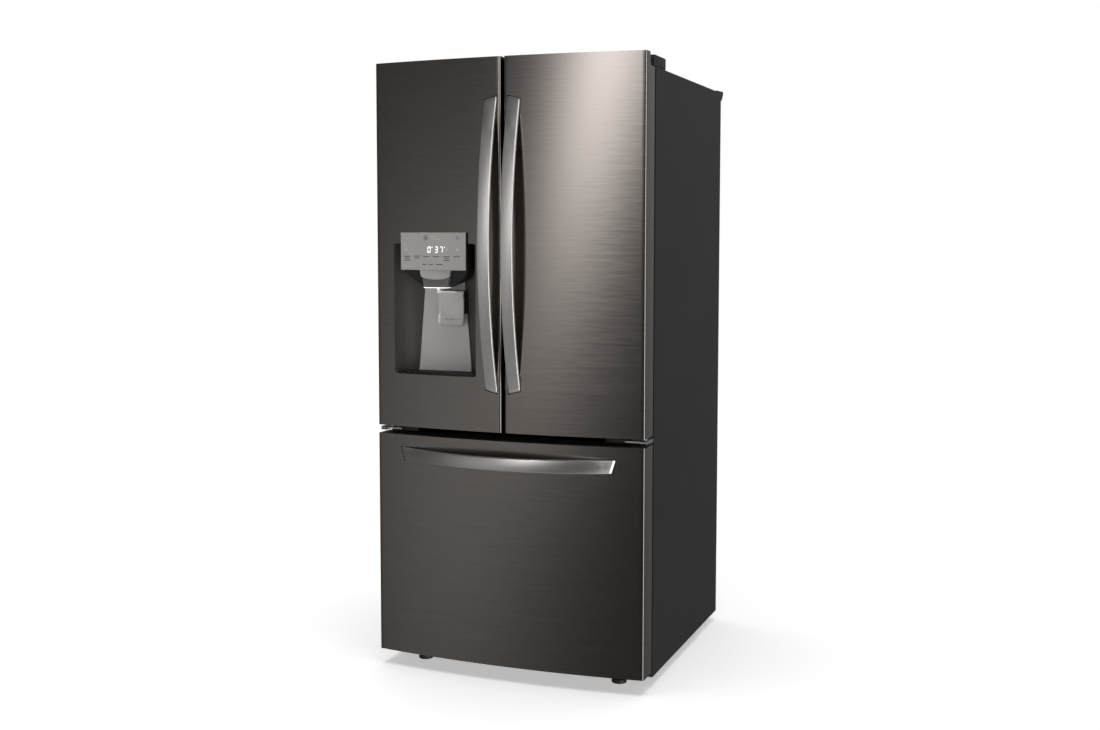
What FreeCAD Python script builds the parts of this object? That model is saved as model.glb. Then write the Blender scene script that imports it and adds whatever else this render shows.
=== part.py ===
import FreeCAD, Part
import math
import os

# French door refrigerator with a bottom freezer drawer.  Millimetres, +Z up, the front looks along -Y.
# While it is modelled, x = 0 is the middle, y = 0 is the front plane of the case and z = 0 is the floor;
# save() then moves every piece back so that the origin is the middle of the bounding box's base.

V = FreeCAD.Vector

# ---- overall sizes ----
width = 830.0
case_depth = 733.0
case_bottom = 30.0
drawer_bottom = 46.0
drawer_height = 656.0
drawer_gap = 25.0
door_height = 1062.0
door_above_case = 34.0
# ---- the doors' shape ----
door_edge_face = 84.0
door_crown = 28.0
door_back = 12.0
door_split = 10.0
door_edge_radius = 6.0
door_sheet = 0.8
cap_sheet = 4.0
door_liner_sheet = 2.5
notch_width = 118.0
notch_front = 31.0
hinge_from_side = 18.0
hinge_from_case = 34.0
# ---- the cabinet's walls ----
case_sheet = 1.0
side_wall = 50.0
top_wall = 60.0
back_wall = 65.0
floor_wall = 58.0
divider_wall = 95.0
liner_sheet = 2.0
flange_lap = 5.0
bay_depth = 200.0
bay_height = 220.0
bay_foam = 45.0
# ---- gaskets, dykes and bins of the doors ----
gasket_width = 18.0
gasket_squeeze = 0.5
dyke_wall = 22.0
dyke_depth = 52.0
dyke_centre = 54.0
dyke_from_wall = 15.0
dyke_from_ceiling = 24.0
bin_depth = 110.0
bin_sheet = 3.0
bin_height = 95.0
bin_rows = 4
bin_above_dyke = 6.0
bin_under_dyke = 83.0
# ---- handles ----
handle_wide = 37.0
handle_thick = 12.0
handle_proud = 60.0
handle_from_centre = 35.5
handle_low = 111.0
handle_length = 842.0
handle_slant = 11.0
drawer_handle_length = 668.0
drawer_handle_from_top = 36.0
drawer_handle_wide = 39.0
handle_gap = 1.5
socket_depth = 16.0
socket_long = 56.0
drawer_socket_long = 62.0
stud_radius = 4.0
stud_from_end = 24.0
# ---- dispenser ----
recess_outer = 60.0
recess_inner = 84.0
recess_low = 156.0
recess_height = 382.0
recess_back = 24.0
recess_sheet = 2.5
panel_side = 29.0
panel_height = 108.0
panel_above = 32.0
panel_proud = 9.0
paddle_wide = 84.0
paddle_tall = 105.0
paddle_thick = 4.0
# ---- hinges ----
pin_radius = 5.0
pin_clearance = 0.08
hinge_plate = 5.0
cover_height = 34.0
# ---- slides, trays and running gaps ----
slide_play = 0.5
run_gap = 1.0
freezer_bin_sheet = 3.0
shelf_front = 160.0
shelf_thick = 12.0
glass_thick = 4.0
# ---- feet and rollers ----
foot_radius = 22.0
foot_from_centre = 311.0
foot_back = 14.0
foot_pad = 12.0
foot_thread = 5.0
foot_hexagon = 11.0
roller_radius = 14.0
roller_width = 18.0
axle_radius = 4.0
roller_from_back = 60.0
ear_thick = 3.0
# ---- mullion flap between the doors ----
flap_thick = 22.0
flap_long = 74.0
flap_pivot_x = 34.0
flap_pivot_y = 6.0
flap_pin = 3.0
# ---- rear spacer ----
spacer_behind = 38.0
spacer_above = 6.0

# ---- places worked out from the sizes ----
half = width / 2
drawer_top = drawer_bottom + drawer_height
door_bottom = drawer_top + drawer_gap
door_top = door_bottom + door_height
case_top = door_top - door_above_case
gap_middle = drawer_top + drawer_gap / 2
crown_radius = (half ** 2 + door_crown ** 2) / (2 * door_crown)
crown_centre = crown_radius - door_edge_face - door_crown
inner_half = half - side_wall
fridge_floor = gap_middle + divider_wall / 2
fridge_ceiling = case_top - top_wall
freezer_floor = case_bottom + floor_wall
freezer_ceiling = gap_middle - divider_wall / 2
cavity_back = case_depth - back_wall
bay_front = case_depth - bay_depth
bay_top = case_bottom + bay_height
step_front = bay_front - bay_foam
step_top = bay_top + bay_foam
hinge_x = half - hinge_from_side
dyke_outer = inner_half - dyke_from_wall
roller_y = case_depth - roller_from_back
first_bin = fridge_floor + dyke_from_wall + dyke_wall + bin_above_dyke
last_bin = fridge_ceiling - dyke_from_ceiling - dyke_wall - bin_under_dyke - bin_height
bin_pitch = (last_bin - first_bin) / (bin_rows - 1)
notch_floor = case_top - 3.0
notch_back = -door_edge_face + notch_front
front_most = -door_edge_face - door_crown - handle_proud
back_most = case_depth + spacer_behind
middle_y = (front_most + back_most) / 2

nodes = {}


def box(x0, x1, y0, y1, z0, z1):
    return Part.makeBox(x1 - x0, y1 - y0, z1 - z0, V(x0, y0, z0))


def post(radius, x, y, z0, z1):
    return Part.makeCylinder(radius, z1 - z0, V(x, y, z0), V(0, 0, 1))


def rod_x(radius, x0, x1, y, z):
    return Part.makeCylinder(radius, x1 - x0, V(x0, y, z), V(1, 0, 0))


def rod_y(radius, x, y0, y1, z):
    return Part.makeCylinder(radius, y1 - y0, V(x, y0, z), V(0, 1, 0))


def fused(pieces):
    first, rest = pieces[0], pieces[1:]
    return first.fuse(rest).removeSplitter() if rest else first


def mirrored(shape):
    return shape.mirror(V(0, 0, 0), V(1, 0, 0))


def both_sides(shape):
    return Part.makeCompound([shape, mirrored(shape)])


def prism_x(points, x0, x1):
    outline = Part.makePolygon([V(x0, y, z) for y, z in points + points[:1]])
    return Part.Face(outline).extrude(V(x1 - x0, 0, 0))


def prism_z(points, z0, z1):
    outline = Part.makePolygon([V(x, y, z0) for x, y in points + points[:1]])
    return Part.Face(outline).extrude(V(0, 0, z1 - z0))


def save(name, shape):
    moved = shape.copy()
    moved.translate(V(0, -middle_y, 0))
    nodes[name] = moved


def front_at(x, inset=0.0):
    """y of the crowned front face at x, or of a surface that lies inset behind it."""
    return crown_centre - math.sqrt((crown_radius - inset) ** 2 - x ** 2)


def front_block(x0, x1, z0, z1, back, inset=0.0, radius=0.0):
    """A block whose front follows the one shallow arc that runs across both doors and the drawer."""
    middle = (x0 + x1) / 2
    left = V(x0, front_at(x0, inset), z0)
    right = V(x1, front_at(x1, inset), z0)
    arc = Part.Arc(left, V(middle, front_at(middle, inset), z0), right).toShape()
    side = Part.makeLine(right, V(x1, back, z0))
    rear = Part.makeLine(V(x1, back, z0), V(x0, back, z0))
    other = Part.makeLine(V(x0, back, z0), left)
    solid = Part.Face(Part.Wire([arc, side, rear, other])).extrude(V(0, 0, z1 - z0))
    if radius > 0:
        solid = solid.makeFillet(radius, front_corners(solid, back))
    return solid


def front_corners(solid, back):
    return [e for e in solid.Edges
            if abs(e.Vertexes[0].Z - e.Vertexes[-1].Z) > 1 and e.CenterOfMass.y < back - 1]


def frame_box(x0, x1, y0, y1, z0, z1, wall):
    """A rectangular ring that stands in the XZ plane."""
    return box(x0, x1, y0, y1, z0, z1).cut(box(x0 + wall, x1 - wall, y0 - 1, y1 + 1, z0 + wall, z1 - wall))


def tray(x0, x1, y0, y1, z0, z1, wall):
    """An open bin with one wall thickness."""
    inside = box(x0 + wall, x1 - wall, y0 + wall, y1 - wall, z0 + wall, z1 + 1)
    return box(x0, x1, y0, y1, z0, z1).cut(inside)


# ---------------- cabinet ----------------

def case_shell():
    """Wrapped painted sheet: sides, top, floor, the step over the machine bay and the front flange."""
    s = case_sheet
    outer = box(-half, half, 0, case_depth - s, case_bottom, case_top)
    inside = box(-half + s, half - s, s, case_depth, case_bottom + s, case_top - s)
    mouth = box(-inner_half - flange_lap, inner_half + flange_lap, -1, s + 1,
                freezer_floor - flange_lap, fridge_ceiling + flange_lap)
    bay_floor = box(-half + s, half - s, bay_front, case_depth, case_bottom - 1, case_bottom + s + 1)
    step = box(-half + s, half - s, bay_front - s, bay_front, case_bottom + s, bay_top)
    deck = box(-half + s, half - s, bay_front - s, case_depth - s, bay_top, bay_top + s)
    return fused([outer.cut(inside).cut(mouth).cut(bay_floor), step, deck, divider_rail()])


def case_back():
    s = case_sheet
    return box(-half, half, case_depth - s, case_depth, bay_top + s, case_top)


def freezer_room(grow=0.0, front=-1.0):
    """The freezer's hollow, which steps up over the machine bay; grow makes it the liner's outside."""
    room = box(-inner_half - grow, inner_half + grow, front, cavity_back + grow,
               freezer_floor - grow, freezer_ceiling + grow)
    step = box(-half, half, step_front + grow, case_depth, case_bottom - 1, step_top - grow)
    return room.cut(step)


def fridge_room(grow=0.0, front=-1.0):
    return box(-inner_half - grow, inner_half + grow, front, cavity_back + grow,
               fridge_floor - grow, fridge_ceiling + grow)


def liner(room, low, high):
    """A vacuum-formed liner: a thin box open at the front, with a flange that laps the case."""
    t = liner_sheet
    reach = inner_half + flange_lap
    flange = box(-reach, reach, 0, t, low - flange_lap, high + flange_lap)
    return fused([room(t, 0.0), flange]).cut(room())


def cabinet_foam():
    """Foamed-in-place insulation between the case and both liners."""
    s = case_sheet
    block = box(-half + s, half - s, liner_sheet, case_depth - s, case_bottom + s, case_top - s)
    bay = box(-half, half, bay_front - s, case_depth, case_bottom, bay_top + s)
    return block.cut(bay).cut(fridge_room(liner_sheet)).cut(freezer_room(liner_sheet))


def divider_rail():
    """Cross-rail, welded to the case's flanges, that closes the case between the two liners."""
    return box(-inner_half - flange_lap, inner_half + flange_lap, 0, liner_sheet,
               freezer_ceiling + flange_lap, fridge_floor - flange_lap)


def bay_plate():
    """Side plate of the machine bay."""
    outer = half - case_sheet
    return box(outer - 3, outer, bay_front, case_depth - case_sheet, case_bottom, bay_top)


def roller_mount():
    """Two ears under the case with the axle of one roller between them."""
    x = foot_from_centre
    reach = roller_width / 2 + slide_play
    ears = [roller_ear(x - reach - ear_thick), roller_ear(x + reach)]
    return ears + [rod_x(axle_radius, x - reach - ear_thick, x + reach + ear_thick, roller_y, roller_radius)]


def roller_window():
    """Opening in a base rail that the roller stands up into."""
    reach = roller_width / 2 + slide_play
    return box(foot_from_centre - reach, foot_from_centre + reach, roller_y - 18, roller_y + 18,
               2 * roller_radius - 6, case_bottom)


def base_frame():
    """Rails under the case, the machine bay's tray and side plates, and the rollers' mounts."""
    x, rail = foot_from_centre, case_bottom - 5
    side = [box(x - 35, x + 35, -6, case_depth - 2, rail, case_bottom), bay_plate()] + roller_mount()
    cross = [box(-x, x, y, y + 30, rail, case_bottom) for y in (60, bay_front - 40)]
    bay_tray = box(-half + case_sheet, half - case_sheet, bay_front, case_depth - case_sheet,
                   case_bottom, case_bottom + 2)
    body = fused(side + [mirrored(piece) for piece in side] + cross + [bay_tray])
    hole = post(foot_thread + 0.2, x, foot_back, 0, case_bottom + 1)
    for cutter in (hole, roller_window()):
        body = body.cut(cutter).cut(mirrored(cutter))
    return body


def roller_ear(x):
    return box(x, x + ear_thick, roller_y - 10, roller_y + 10, roller_radius - 7, case_bottom - 4)


def leveling_feet():
    """A foot pad on a threaded stem, with a hex collar to turn, at each front corner."""
    pad = post(foot_radius, foot_from_centre, foot_back, 0, foot_pad)
    pad = pad.makeFillet(2.0, [e for e in pad.Edges if e.Curve.TypeId == "Part::GeomCircle"])
    turns = [math.radians(60 * i) for i in range(6)]
    hexagon = [(foot_from_centre + foot_hexagon * math.cos(a), foot_back + foot_hexagon * math.sin(a))
               for a in turns]
    collar = prism_z(hexagon, foot_pad, case_bottom - 5)
    stem = post(foot_thread, foot_from_centre, foot_back, foot_pad, case_bottom)
    return both_sides(fused([pad, collar, stem]))


def rear_roller(side):
    wheel = rod_x(roller_radius, side * foot_from_centre - roller_width / 2,
                  side * foot_from_centre + roller_width / 2, roller_y, roller_radius)
    bore = rod_x(axle_radius + pin_clearance, side * foot_from_centre - roller_width,
                 side * foot_from_centre + roller_width, roller_y, roller_radius)
    return wheel.cut(bore)


def rear_top_spacer():
    """Moulded strip on the rear top edge that keeps the case off the wall."""
    low = case_top - 25
    outline = [(case_depth - 45, case_top), (case_depth - 45, case_top + 2),
               (case_depth + spacer_behind, case_top + spacer_above),
               (case_depth + spacer_behind - 20, low), (case_depth, low), (case_depth, case_top)]
    return prism_x(outline, -half + 2, half - 2)


def top_hinge():
    """Steel hinge plate screwed to the case top, with the pin that drops into the door's notch."""
    z = case_top
    foot = box(hinge_x - 50, hinge_x + 8, 8, 98, z, z + hinge_plate)
    arm = box(hinge_x - 16, hinge_x + 6, -hinge_from_case, 8, z, z + hinge_plate)
    eye = post(13, hinge_x, -hinge_from_case, z, z + hinge_plate)
    pin = post(pin_radius, hinge_x, -hinge_from_case, z - 28, z + hinge_plate + 3)
    screws = [post(5, hinge_x - 38 + 22 * i, 30 + 48 * j, z + hinge_plate, z + hinge_plate + 3)
              for i in range(2) for j in range(2)]
    return fused([foot, arm, eye, pin] + screws)


def hinge_cover():
    """Moulded cover over a top hinge; its front wall lets the hinge arm through."""
    x0, x1, y0, y1 = hinge_x - 58, hinge_x + 15, 3, 107
    outer = box(x0, x1, y0, y1, case_top, case_top + cover_height)
    top_edges = [e for e in outer.Edges if e.CenterOfMass.z > case_top + cover_height - 1]
    outer = outer.makeFillet(4.0, top_edges)
    hollow = box(x0 + 2.5, x1 - 2.5, y0 + 2.5, y1 - 2.5, case_top - 1, case_top + cover_height - 2.5)
    slot = box(hinge_x - 18, hinge_x + 9, y0 - 1, y0 + 6, case_top - 1, case_top + hinge_plate + 1)
    return outer.cut(hollow).cut(slot)


def center_hinge():
    """Plate in the gap over the drawer, with the pin that the door stands on."""
    z = gap_middle - 2
    plate = box(hinge_x - 47, hinge_x + 8, -62, 0, z, z + 4)
    upright = box(hinge_x - 47, hinge_x + 8, -4, 0, z - 6, z + 12)
    knuckle = post(11, hinge_x, -hinge_from_case, z + 4, door_bottom - run_gap)
    pin = post(pin_radius, hinge_x, -hinge_from_case, z + 4, door_bottom + 28)
    return fused([plate, upright, knuckle, pin])


# ---------------- machine bay and cooling ----------------

def bay_middle():
    return bay_front + bay_depth / 2


def compressor():
    """Welded compressor pot on its base plate and four rubber grommets."""
    y, z, x = bay_middle(), case_bottom + 2, 250.0
    pot = post(72, x, y, z + 16, z + 170)
    tops = [e for e in pot.Edges if e.Curve.TypeId == "Part::GeomCircle"]
    pot = pot.makeFillet(26.0, tops)
    plate = box(x - 95, x + 95, y - 70, y + 70, z + 12, z + 17)
    feet = [post(11, x + i * 80, y + j * 55, z, z + 12) for i in (-1, 1) for j in (-1, 1)]
    relay = box(x - 100, x - 60, y - 28, y + 28, z + 50, z + 110)
    return fused([pot, plate, relay] + feet)


def fin_coil(x0, x1, y0, y1, z0, z1, pitch):
    """A heat exchanger: upright fins on tubes that run along x."""
    count = int((x1 - x0) / pitch)
    fins = [box(x0 + i * pitch, x0 + i * pitch + 2, y0, y1, z0, z1) for i in range(count + 1)]
    rows = int((z1 - z0) / 45)
    tubes = [rod_x(4, x0, x0 + count * pitch, (y0 + y1) / 2, z0 + (k + 0.5) * (z1 - z0) / rows)
             for k in range(rows)]
    return fused(fins + tubes)


def condenser():
    return fin_coil(-half + 30, -half + 190, bay_front + 20, case_depth - 25,
                    case_bottom + 2, bay_top - 15, 16.0)


fan_x = -185.0
fan_radius = 72.0
fan_z = case_bottom + 112.0


def condenser_fan_motor():
    """Shroud plate, motor and shaft of the condenser fan."""
    y = bay_middle()
    shroud = box(fan_x - 3, fan_x, bay_front + 5, case_depth - 6, case_bottom + 2, bay_top - 2)
    shroud = shroud.cut(rod_x(fan_radius + 6, fan_x - 10, fan_x + 10, y, fan_z))
    motor = rod_x(27, fan_x + 32, fan_x + 72, y, fan_z)
    stand = box(fan_x + 36, fan_x + 66, y - 16, y + 16, case_bottom + 2, fan_z - 20)
    foot = box(fan_x - 3, fan_x + 66, y - 30, y + 30, case_bottom + 2, case_bottom + 5)
    shaft = rod_x(3, fan_x - 8, fan_x + 32, y, fan_z)
    return fused([shroud, foot, stand, motor, shaft])


def condenser_fan():
    """Hub and five pitched blades that turn on the motor's shaft."""
    y = bay_middle()
    hub = rod_x(16, fan_x - 10, fan_x + 22, y, fan_z)
    blades = []
    for i in range(5):
        blade = box(fan_x + 4.5, fan_x + 6.5, y - 22, y + 22, fan_z + 12, fan_z + fan_radius)
        blade.rotate(V(fan_x + 5.5, y, fan_z), V(0, 0, 1), 28)
        blade.rotate(V(fan_x, y, fan_z), V(1, 0, 0), 72 * i)
        blades.append(blade)
    return fused([hub] + blades).cut(rod_x(3 + pin_clearance, fan_x - 20, fan_x + 31, y, fan_z))


def machine_cover():
    """Rear grille over the machine bay, with two banks of louvre slots."""
    s = case_sheet
    sheet = box(-half + 6, half - 6, case_depth - s, case_depth, case_bottom + 4, bay_top + s)
    for bank in (-1, 1):
        for row in range(9):
            z = case_bottom + 35 + row * 19
            middle = bank * 210
            sheet = sheet.cut(box(middle - 130, middle + 130, case_depth - 5, case_depth + 5, z, z + 7))
    return sheet


inlet_x = -332.0
inlet_radius = 5.5


def water_inlet():
    """Water valve on the rear cover; its threaded stub takes the house's water line from below."""
    y, z = case_depth + 12, case_bottom + 130
    valve = box(inlet_x - 20, inlet_x + 20, case_depth, case_depth + 24, z, z + 44)
    stub = post(inlet_radius, inlet_x, y, z - 14, z)
    coil = rod_x(11, inlet_x - 30, inlet_x + 30, y, z + 30)
    return fused([valve, stub, coil])


freezer_fan_radius = 44.0
freezer_fan_y = cavity_back - 46.0
freezer_fan_z = freezer_ceiling - freezer_fan_radius - 5.0


def freezer_fan_motor():
    """Motor and shaft of the evaporator fan, on the freezer's back wall."""
    motor = rod_y(20, 0, cavity_back - 22, cavity_back, freezer_fan_z)
    shaft = rod_y(3, 0, freezer_fan_y - 8, cavity_back - 22, freezer_fan_z)
    return fused([motor, shaft])


def evaporator_fan():
    """Hub and blades that draw air over the evaporator into the freezer's duct."""
    hub = rod_y(12, 0, freezer_fan_y - 10, freezer_fan_y + 12, freezer_fan_z)
    blades = []
    for i in range(5):
        blade = box(-14, 14, freezer_fan_y - 1, freezer_fan_y + 1, freezer_fan_z + 8,
                    freezer_fan_z + freezer_fan_radius)
        blade.rotate(V(0, freezer_fan_y, freezer_fan_z), V(0, 0, 1), 28)
        blade.rotate(V(0, freezer_fan_y, freezer_fan_z), V(0, 1, 0), 72 * i)
        blades.append(blade)
    bore = rod_y(3 + pin_clearance, 0, freezer_fan_y - 20, freezer_fan_y + 22, freezer_fan_z)
    return fused([hub] + blades).cut(bore)


def evaporator():
    return fin_coil(-240, 240, cavity_back - 58, cavity_back, step_top + 25,
                    freezer_ceiling - 2 * freezer_fan_radius - 15, 40.0)


def freezer_duct_cover():
    """Moulded panel in front of the evaporator, with its air slots."""
    panel = box(-inner_half, inner_half, cavity_back - 72, cavity_back - 69, step_top, freezer_ceiling)
    for row in range(4):
        z = freezer_ceiling - 40 - row * 16
        panel = panel.cut(box(-220, 220, cavity_back - 80, cavity_back - 60, z, z + 6))
    ribs = [box(side * 260 - 2, side * 260 + 2, cavity_back - 69, cavity_back, step_top, freezer_ceiling)
            for side in (-1, 1)]
    return fused([panel] + ribs)


def fridge_air_tower():
    """Air duct up the middle of the fridge's back wall."""
    front = cavity_back - tower_depth
    outer = box(-85, 85, front, cavity_back, fridge_floor + 210, fridge_ceiling - 40)
    inside = box(-82, 82, front + 3, cavity_back + 1, fridge_floor + 213, fridge_ceiling - 43)
    tower = outer.cut(inside)
    for row in range(5):
        z = fridge_floor + 300 + row * 130
        tower = tower.cut(box(-60, 60, front - 1, front + 4, z, z + 10))
    return tower


# ---------------- inside the fridge ----------------

shelf_levels = [fridge_floor + 418.0, fridge_floor + 658.0]
cover_level = fridge_floor + 183.0
tower_depth = 22.0
track_depth = 8.0
shelf_back = cavity_back - tower_depth - 2 * run_gap
shelf_gap = 6.0


def shelf_tracks():
    """Four slotted steel tracks on the back wall that the shelf arms hook into."""
    front = cavity_back - track_depth
    bars = [box(x - 7, x + 7, front, cavity_back, fridge_floor + 200, fridge_ceiling - 60)
            for x in (-inner_half + 22, -105, 105, inner_half - 22)]
    return Part.makeCompound(bars)


def shelf_frame(z):
    """Rim of one half-width shelf with two arms that taper to the front."""
    x0, x1, y0, y1 = shelf_gap, inner_half - run_gap * 3, shelf_front, shelf_back
    rim = frame_flat(x0, x1, y0, y1, z, z + shelf_thick, 14)
    hook = cavity_back - track_depth
    side = [(y1 - 6, z + 2), (hook, z + 2), (hook, z - 50), (hook - 10, z - 50),
            (y0 + 80, z - 10), (y0 + 80, z)]
    arms = [prism_x(side, x, x + 4) for x in (103, inner_half - 24)]
    return fused([rim] + arms)


def frame_flat(x0, x1, y0, y1, z0, z1, wall):
    """A flat rim with a rebate that the glass drops into."""
    rim = box(x0, x1, y0, y1, z0, z1).cut(box(x0 + wall, x1 - wall, y0 + wall, y1 - wall, z0 - 1, z1 + 1))
    lap = wall - 6
    return rim.cut(box(x0 + lap, x1 - lap, y0 + lap, y1 - lap, z1 - glass_thick, z1 + 1))


def shelf_glass():
    """Glass of the four half shelves and of the cover over the crispers."""
    panes = []
    for z in shelf_levels:
        top = z + shelf_thick
        pane = box(shelf_gap + 8, inner_half - run_gap * 3 - 8, shelf_front + 8, shelf_back - 8,
                   top - glass_thick, top)
        panes += [pane, mirrored(pane)]
    top = cover_level + shelf_thick
    reach = inner_half - 9
    panes.append(box(-reach, reach, shelf_front + 8, shelf_back - 8, top - glass_thick, top))
    return Part.makeCompound(panes)


flap_reach = flap_long - flap_pivot_y - flap_pivot_x
crisper_inner = flap_reach + 4.0


def crisper_cover():
    """Full-width frame over the crispers, on a hollow centre wall and side ledges."""
    rim = frame_flat(-inner_half + 1, inner_half - 1, shelf_front, shelf_back,
                     cover_level, cover_level + shelf_thick, 14)
    side = crisper_inner - 2 * run_gap
    wall = box(-side, side, shelf_front + 10, shelf_back - 10, fridge_floor, cover_level)
    wall = wall.cut(box(4 - side, side - 4, shelf_front + 14, shelf_back - 14,
                        fridge_floor - 1, cover_level - 4))
    cross = box(-side, side, shelf_front + 10, shelf_back - 10,
                cover_level, cover_level + shelf_thick - glass_thick)
    return fused([rim, wall, cross])


def crisper():
    """Produce drawer with a turned-out front pull."""
    x0, x1 = crisper_inner, inner_half - 10
    low, high = fridge_floor + run_gap, cover_level - 8
    body = tray(x0, x1, shelf_front - 6, shelf_back - 40, low, high, bin_sheet)
    y = shelf_front
    outline = [(y - 6, high - 22), (y - 18, high - 34), (y - 18, high - 46), (y - 14, high - 46),
               (y - 14, high - 36), (y - 6, high - 28)]
    pull = prism_x(outline, x0 + 60, x1 - 60)
    return fused([body, pull])


# ---------------- doors ----------------

def notch(grow=0.0):
    """Space at a door's top outer corner that the hinge arm works in."""
    return box(half - notch_width - grow, half + 1, notch_back - grow, 1, notch_floor - grow, door_top + 1)


def door_range():
    return door_split / 2, half


def hinge_bores():
    radius = pin_radius + pin_clearance
    high = post(radius, hinge_x, -hinge_from_case, notch_floor - 32, door_top)
    low = post(radius, hinge_x, -hinge_from_case, door_bottom - 1, door_bottom + 32)
    return high.fuse(low)


def shell_of(x0, x1, z0, z1):
    """Folded sheet skin: the crowned front and both sides, whose rear edges wrap the liner's edge."""
    rear = -door_back
    outer = front_block(x0, x1, z0, z1, rear, 0.0, door_edge_radius)
    t = door_sheet
    inside = front_block(x0 + t, x1 - t, z0 - 1, z1 + 1, rear + 1, t, door_edge_radius - t)
    return outer.cut(inside)


def core_of(x0, x1, z0, z1):
    t = door_sheet
    return front_block(x0 + t, x1 - t, z0, z1, -door_back - door_liner_sheet, t, door_edge_radius - t)


def dyke(grow, low, high, x0, x1):
    """Raised ring of a door's liner, which fills the mouth of the cabinet; grow < 0 gives its core."""
    outer = box(x0 - grow, x1 + grow, -door_back - 3, dyke_depth - door_back + grow, low - grow, high + grow)
    w = dyke_wall
    return outer.cut(box(x0 + w + grow, x1 - w - grow, -door_back - 4, dyke_depth,
                         low + w + grow, high - w - grow))


def door_dyke(grow=0.0):
    low, high = fridge_floor + dyke_from_wall, fridge_ceiling - dyke_from_ceiling
    return dyke(grow, low, high, dyke_centre, dyke_outer)


def drawer_dyke(grow=0.0):
    return dyke(grow, freezer_floor + dyke_from_wall, freezer_ceiling - dyke_from_wall,
                -dyke_outer, dyke_outer)


def door_liner_of(x0, x1, z0, z1, ring, core):
    t = door_sheet
    plate = box(x0 + t, x1 - t, -door_back - door_liner_sheet, -door_back, z0, z1)
    in_front = box(-width, width, -60, -door_back - door_liner_sheet, 0, door_top)
    return fused([plate, ring.cut(in_front)]).cut(core)


def core_ring(ring_of):
    """Foam that fills the dyke from behind the liner's plate."""
    return ring_of(-door_liner_sheet)


def door_caps():
    """Moulded end caps; the top one steps down around the hinge notch."""
    x0, x1 = door_range()
    t = door_sheet
    rear = -door_back - door_liner_sheet
    upper = front_block(x0 + t, x1 - t, notch_floor - cap_sheet, door_top, rear, t, door_edge_radius - t)
    under = box(0, half, -300, 0, notch_floor - cap_sheet - 1, door_top - cap_sheet)
    under = under.cut(notch(cap_sheet))
    top = upper.cut(notch()).cut(under)
    bottom = front_block(x0 + t, x1 - t, door_bottom, door_bottom + cap_sheet, rear, t, door_edge_radius - t)
    return top.cut(hinge_bores()), bottom.cut(hinge_bores())


def door_foam():
    x0, x1 = door_range()
    high = door_top - cap_sheet
    block = core_of(x0, x1, door_bottom + cap_sheet, high).cut(notch(cap_sheet))
    return block.fuse(core_ring(door_dyke)).cut(hinge_bores())


def door_gasket():
    """Magnetic gasket, squeezed between the liner's plate and the case flange."""
    x0, x1 = 8.0, hinge_x - 8.0
    low = fridge_floor - 9 - gasket_width
    high = fridge_ceiling + 35 + gasket_width
    return frame_box(x0, x1, -door_back, -gasket_squeeze, low, high, gasket_width)


def drawer_gasket():
    edge = hinge_x - 8.0
    low = freezer_floor - 12 - gasket_width
    high = freezer_ceiling + 9 + gasket_width
    return frame_box(-edge, edge, -door_back, -gasket_squeeze, low, high, gasket_width)


def bow_radius(reach, rise):
    """Radius of an arc that rises by rise over twice reach."""
    return (reach ** 2 + rise ** 2) / (2 * rise)


def ribbon(low, high, face, x0, x1):
    """Bowed flat bar in the YZ plane whose ends sink into the face."""
    middle = (low + high) / 2
    radius = bow_radius((high - low) / 2, handle_proud)
    centre = face - handle_proud + radius
    outer = rod_x(radius, x0, x1, centre, middle)
    inner = rod_x(radius - handle_thick, x0 - 1, x1 + 1, centre, middle)
    window = box(x0, x1, face - handle_proud - 1, face + socket_depth, low, high)
    return outer.common(window).cut(inner)


def slant_cut(bar, outline):
    """Cuts a wedge, given by its outline in the XZ plane, off a bar's end."""
    face = Part.Face(Part.makePolygon([V(x, -400, z) for x, z in outline + outline[:1]]))
    return bar.cut(face.extrude(V(0, 500, 0)))


def door_ribbon():
    """One door's handle bar, longer on the side of the split, as its ends are cut on a slant."""
    x0 = handle_from_centre - handle_wide / 2
    x1 = x0 + handle_wide
    low = door_bottom + handle_low
    high = low + handle_length
    bar = ribbon(low, high, front_at(handle_from_centre), x0, x1)
    for end, inward in ((low, 1), (high, -1)):
        bar = slant_cut(bar, [(x0, end), (x1, end), (x1, end + inward * handle_slant)])
    return bar


def handle_posts(low, high, x, face):
    """Studs that join a bar's sunk ends to the door."""
    return [rod_y(stud_radius, x, face + 3, face + socket_depth, z)
            for z in (low + stud_from_end, high - stud_from_end)]


def socket():
    """Pockets in a door that the ends of its handle stand in."""
    x0 = handle_from_centre - handle_wide / 2 - handle_gap
    x1 = x0 + handle_wide + 2 * handle_gap
    face = front_at(handle_from_centre)
    low = door_bottom + handle_low - handle_gap
    high = low + handle_length + 2 * handle_gap
    return [box(x0, x1, face - 20, face + socket_depth, z0, z0 + socket_long)
            for z0 in (low, high - socket_long)]


def door_handle():
    low = door_bottom + handle_low
    high = low + handle_length
    posts = handle_posts(low, high, handle_from_centre, front_at(handle_from_centre))
    return fused([door_ribbon()] + posts)


def door_skin():
    x0, x1 = door_range()
    return shell_of(x0, x1, door_bottom, door_top).cut(notch()).cut(fused_all(socket()))


def fused_all(pieces):
    return pieces[0].fuse(pieces[1:])


def door_bins(rows):
    """Open bins that hang between the two sides of the dyke."""
    x0, x1 = dyke_centre + dyke_wall, dyke_outer - dyke_wall
    levels = [first_bin + row * bin_pitch for row in rows]
    return [tray(x0, x1, -door_back, bin_depth, z, z + bin_height, bin_sheet) for z in levels]


# ---------------- dispenser in the left door ----------------

recess_x0 = -half + recess_outer
recess_x1 = -recess_inner
recess_z0 = door_bottom + recess_low
recess_z1 = recess_z0 + recess_height
panel_x0 = recess_x0 + panel_side
panel_x1 = recess_x1 - panel_side + 2.0
panel_z1 = recess_z1 + panel_above
panel_z0 = panel_z1 - panel_height
paddle_x = -190.0
paddle_y = -52.0
paddle_top = panel_z0 - 60.0


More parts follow.
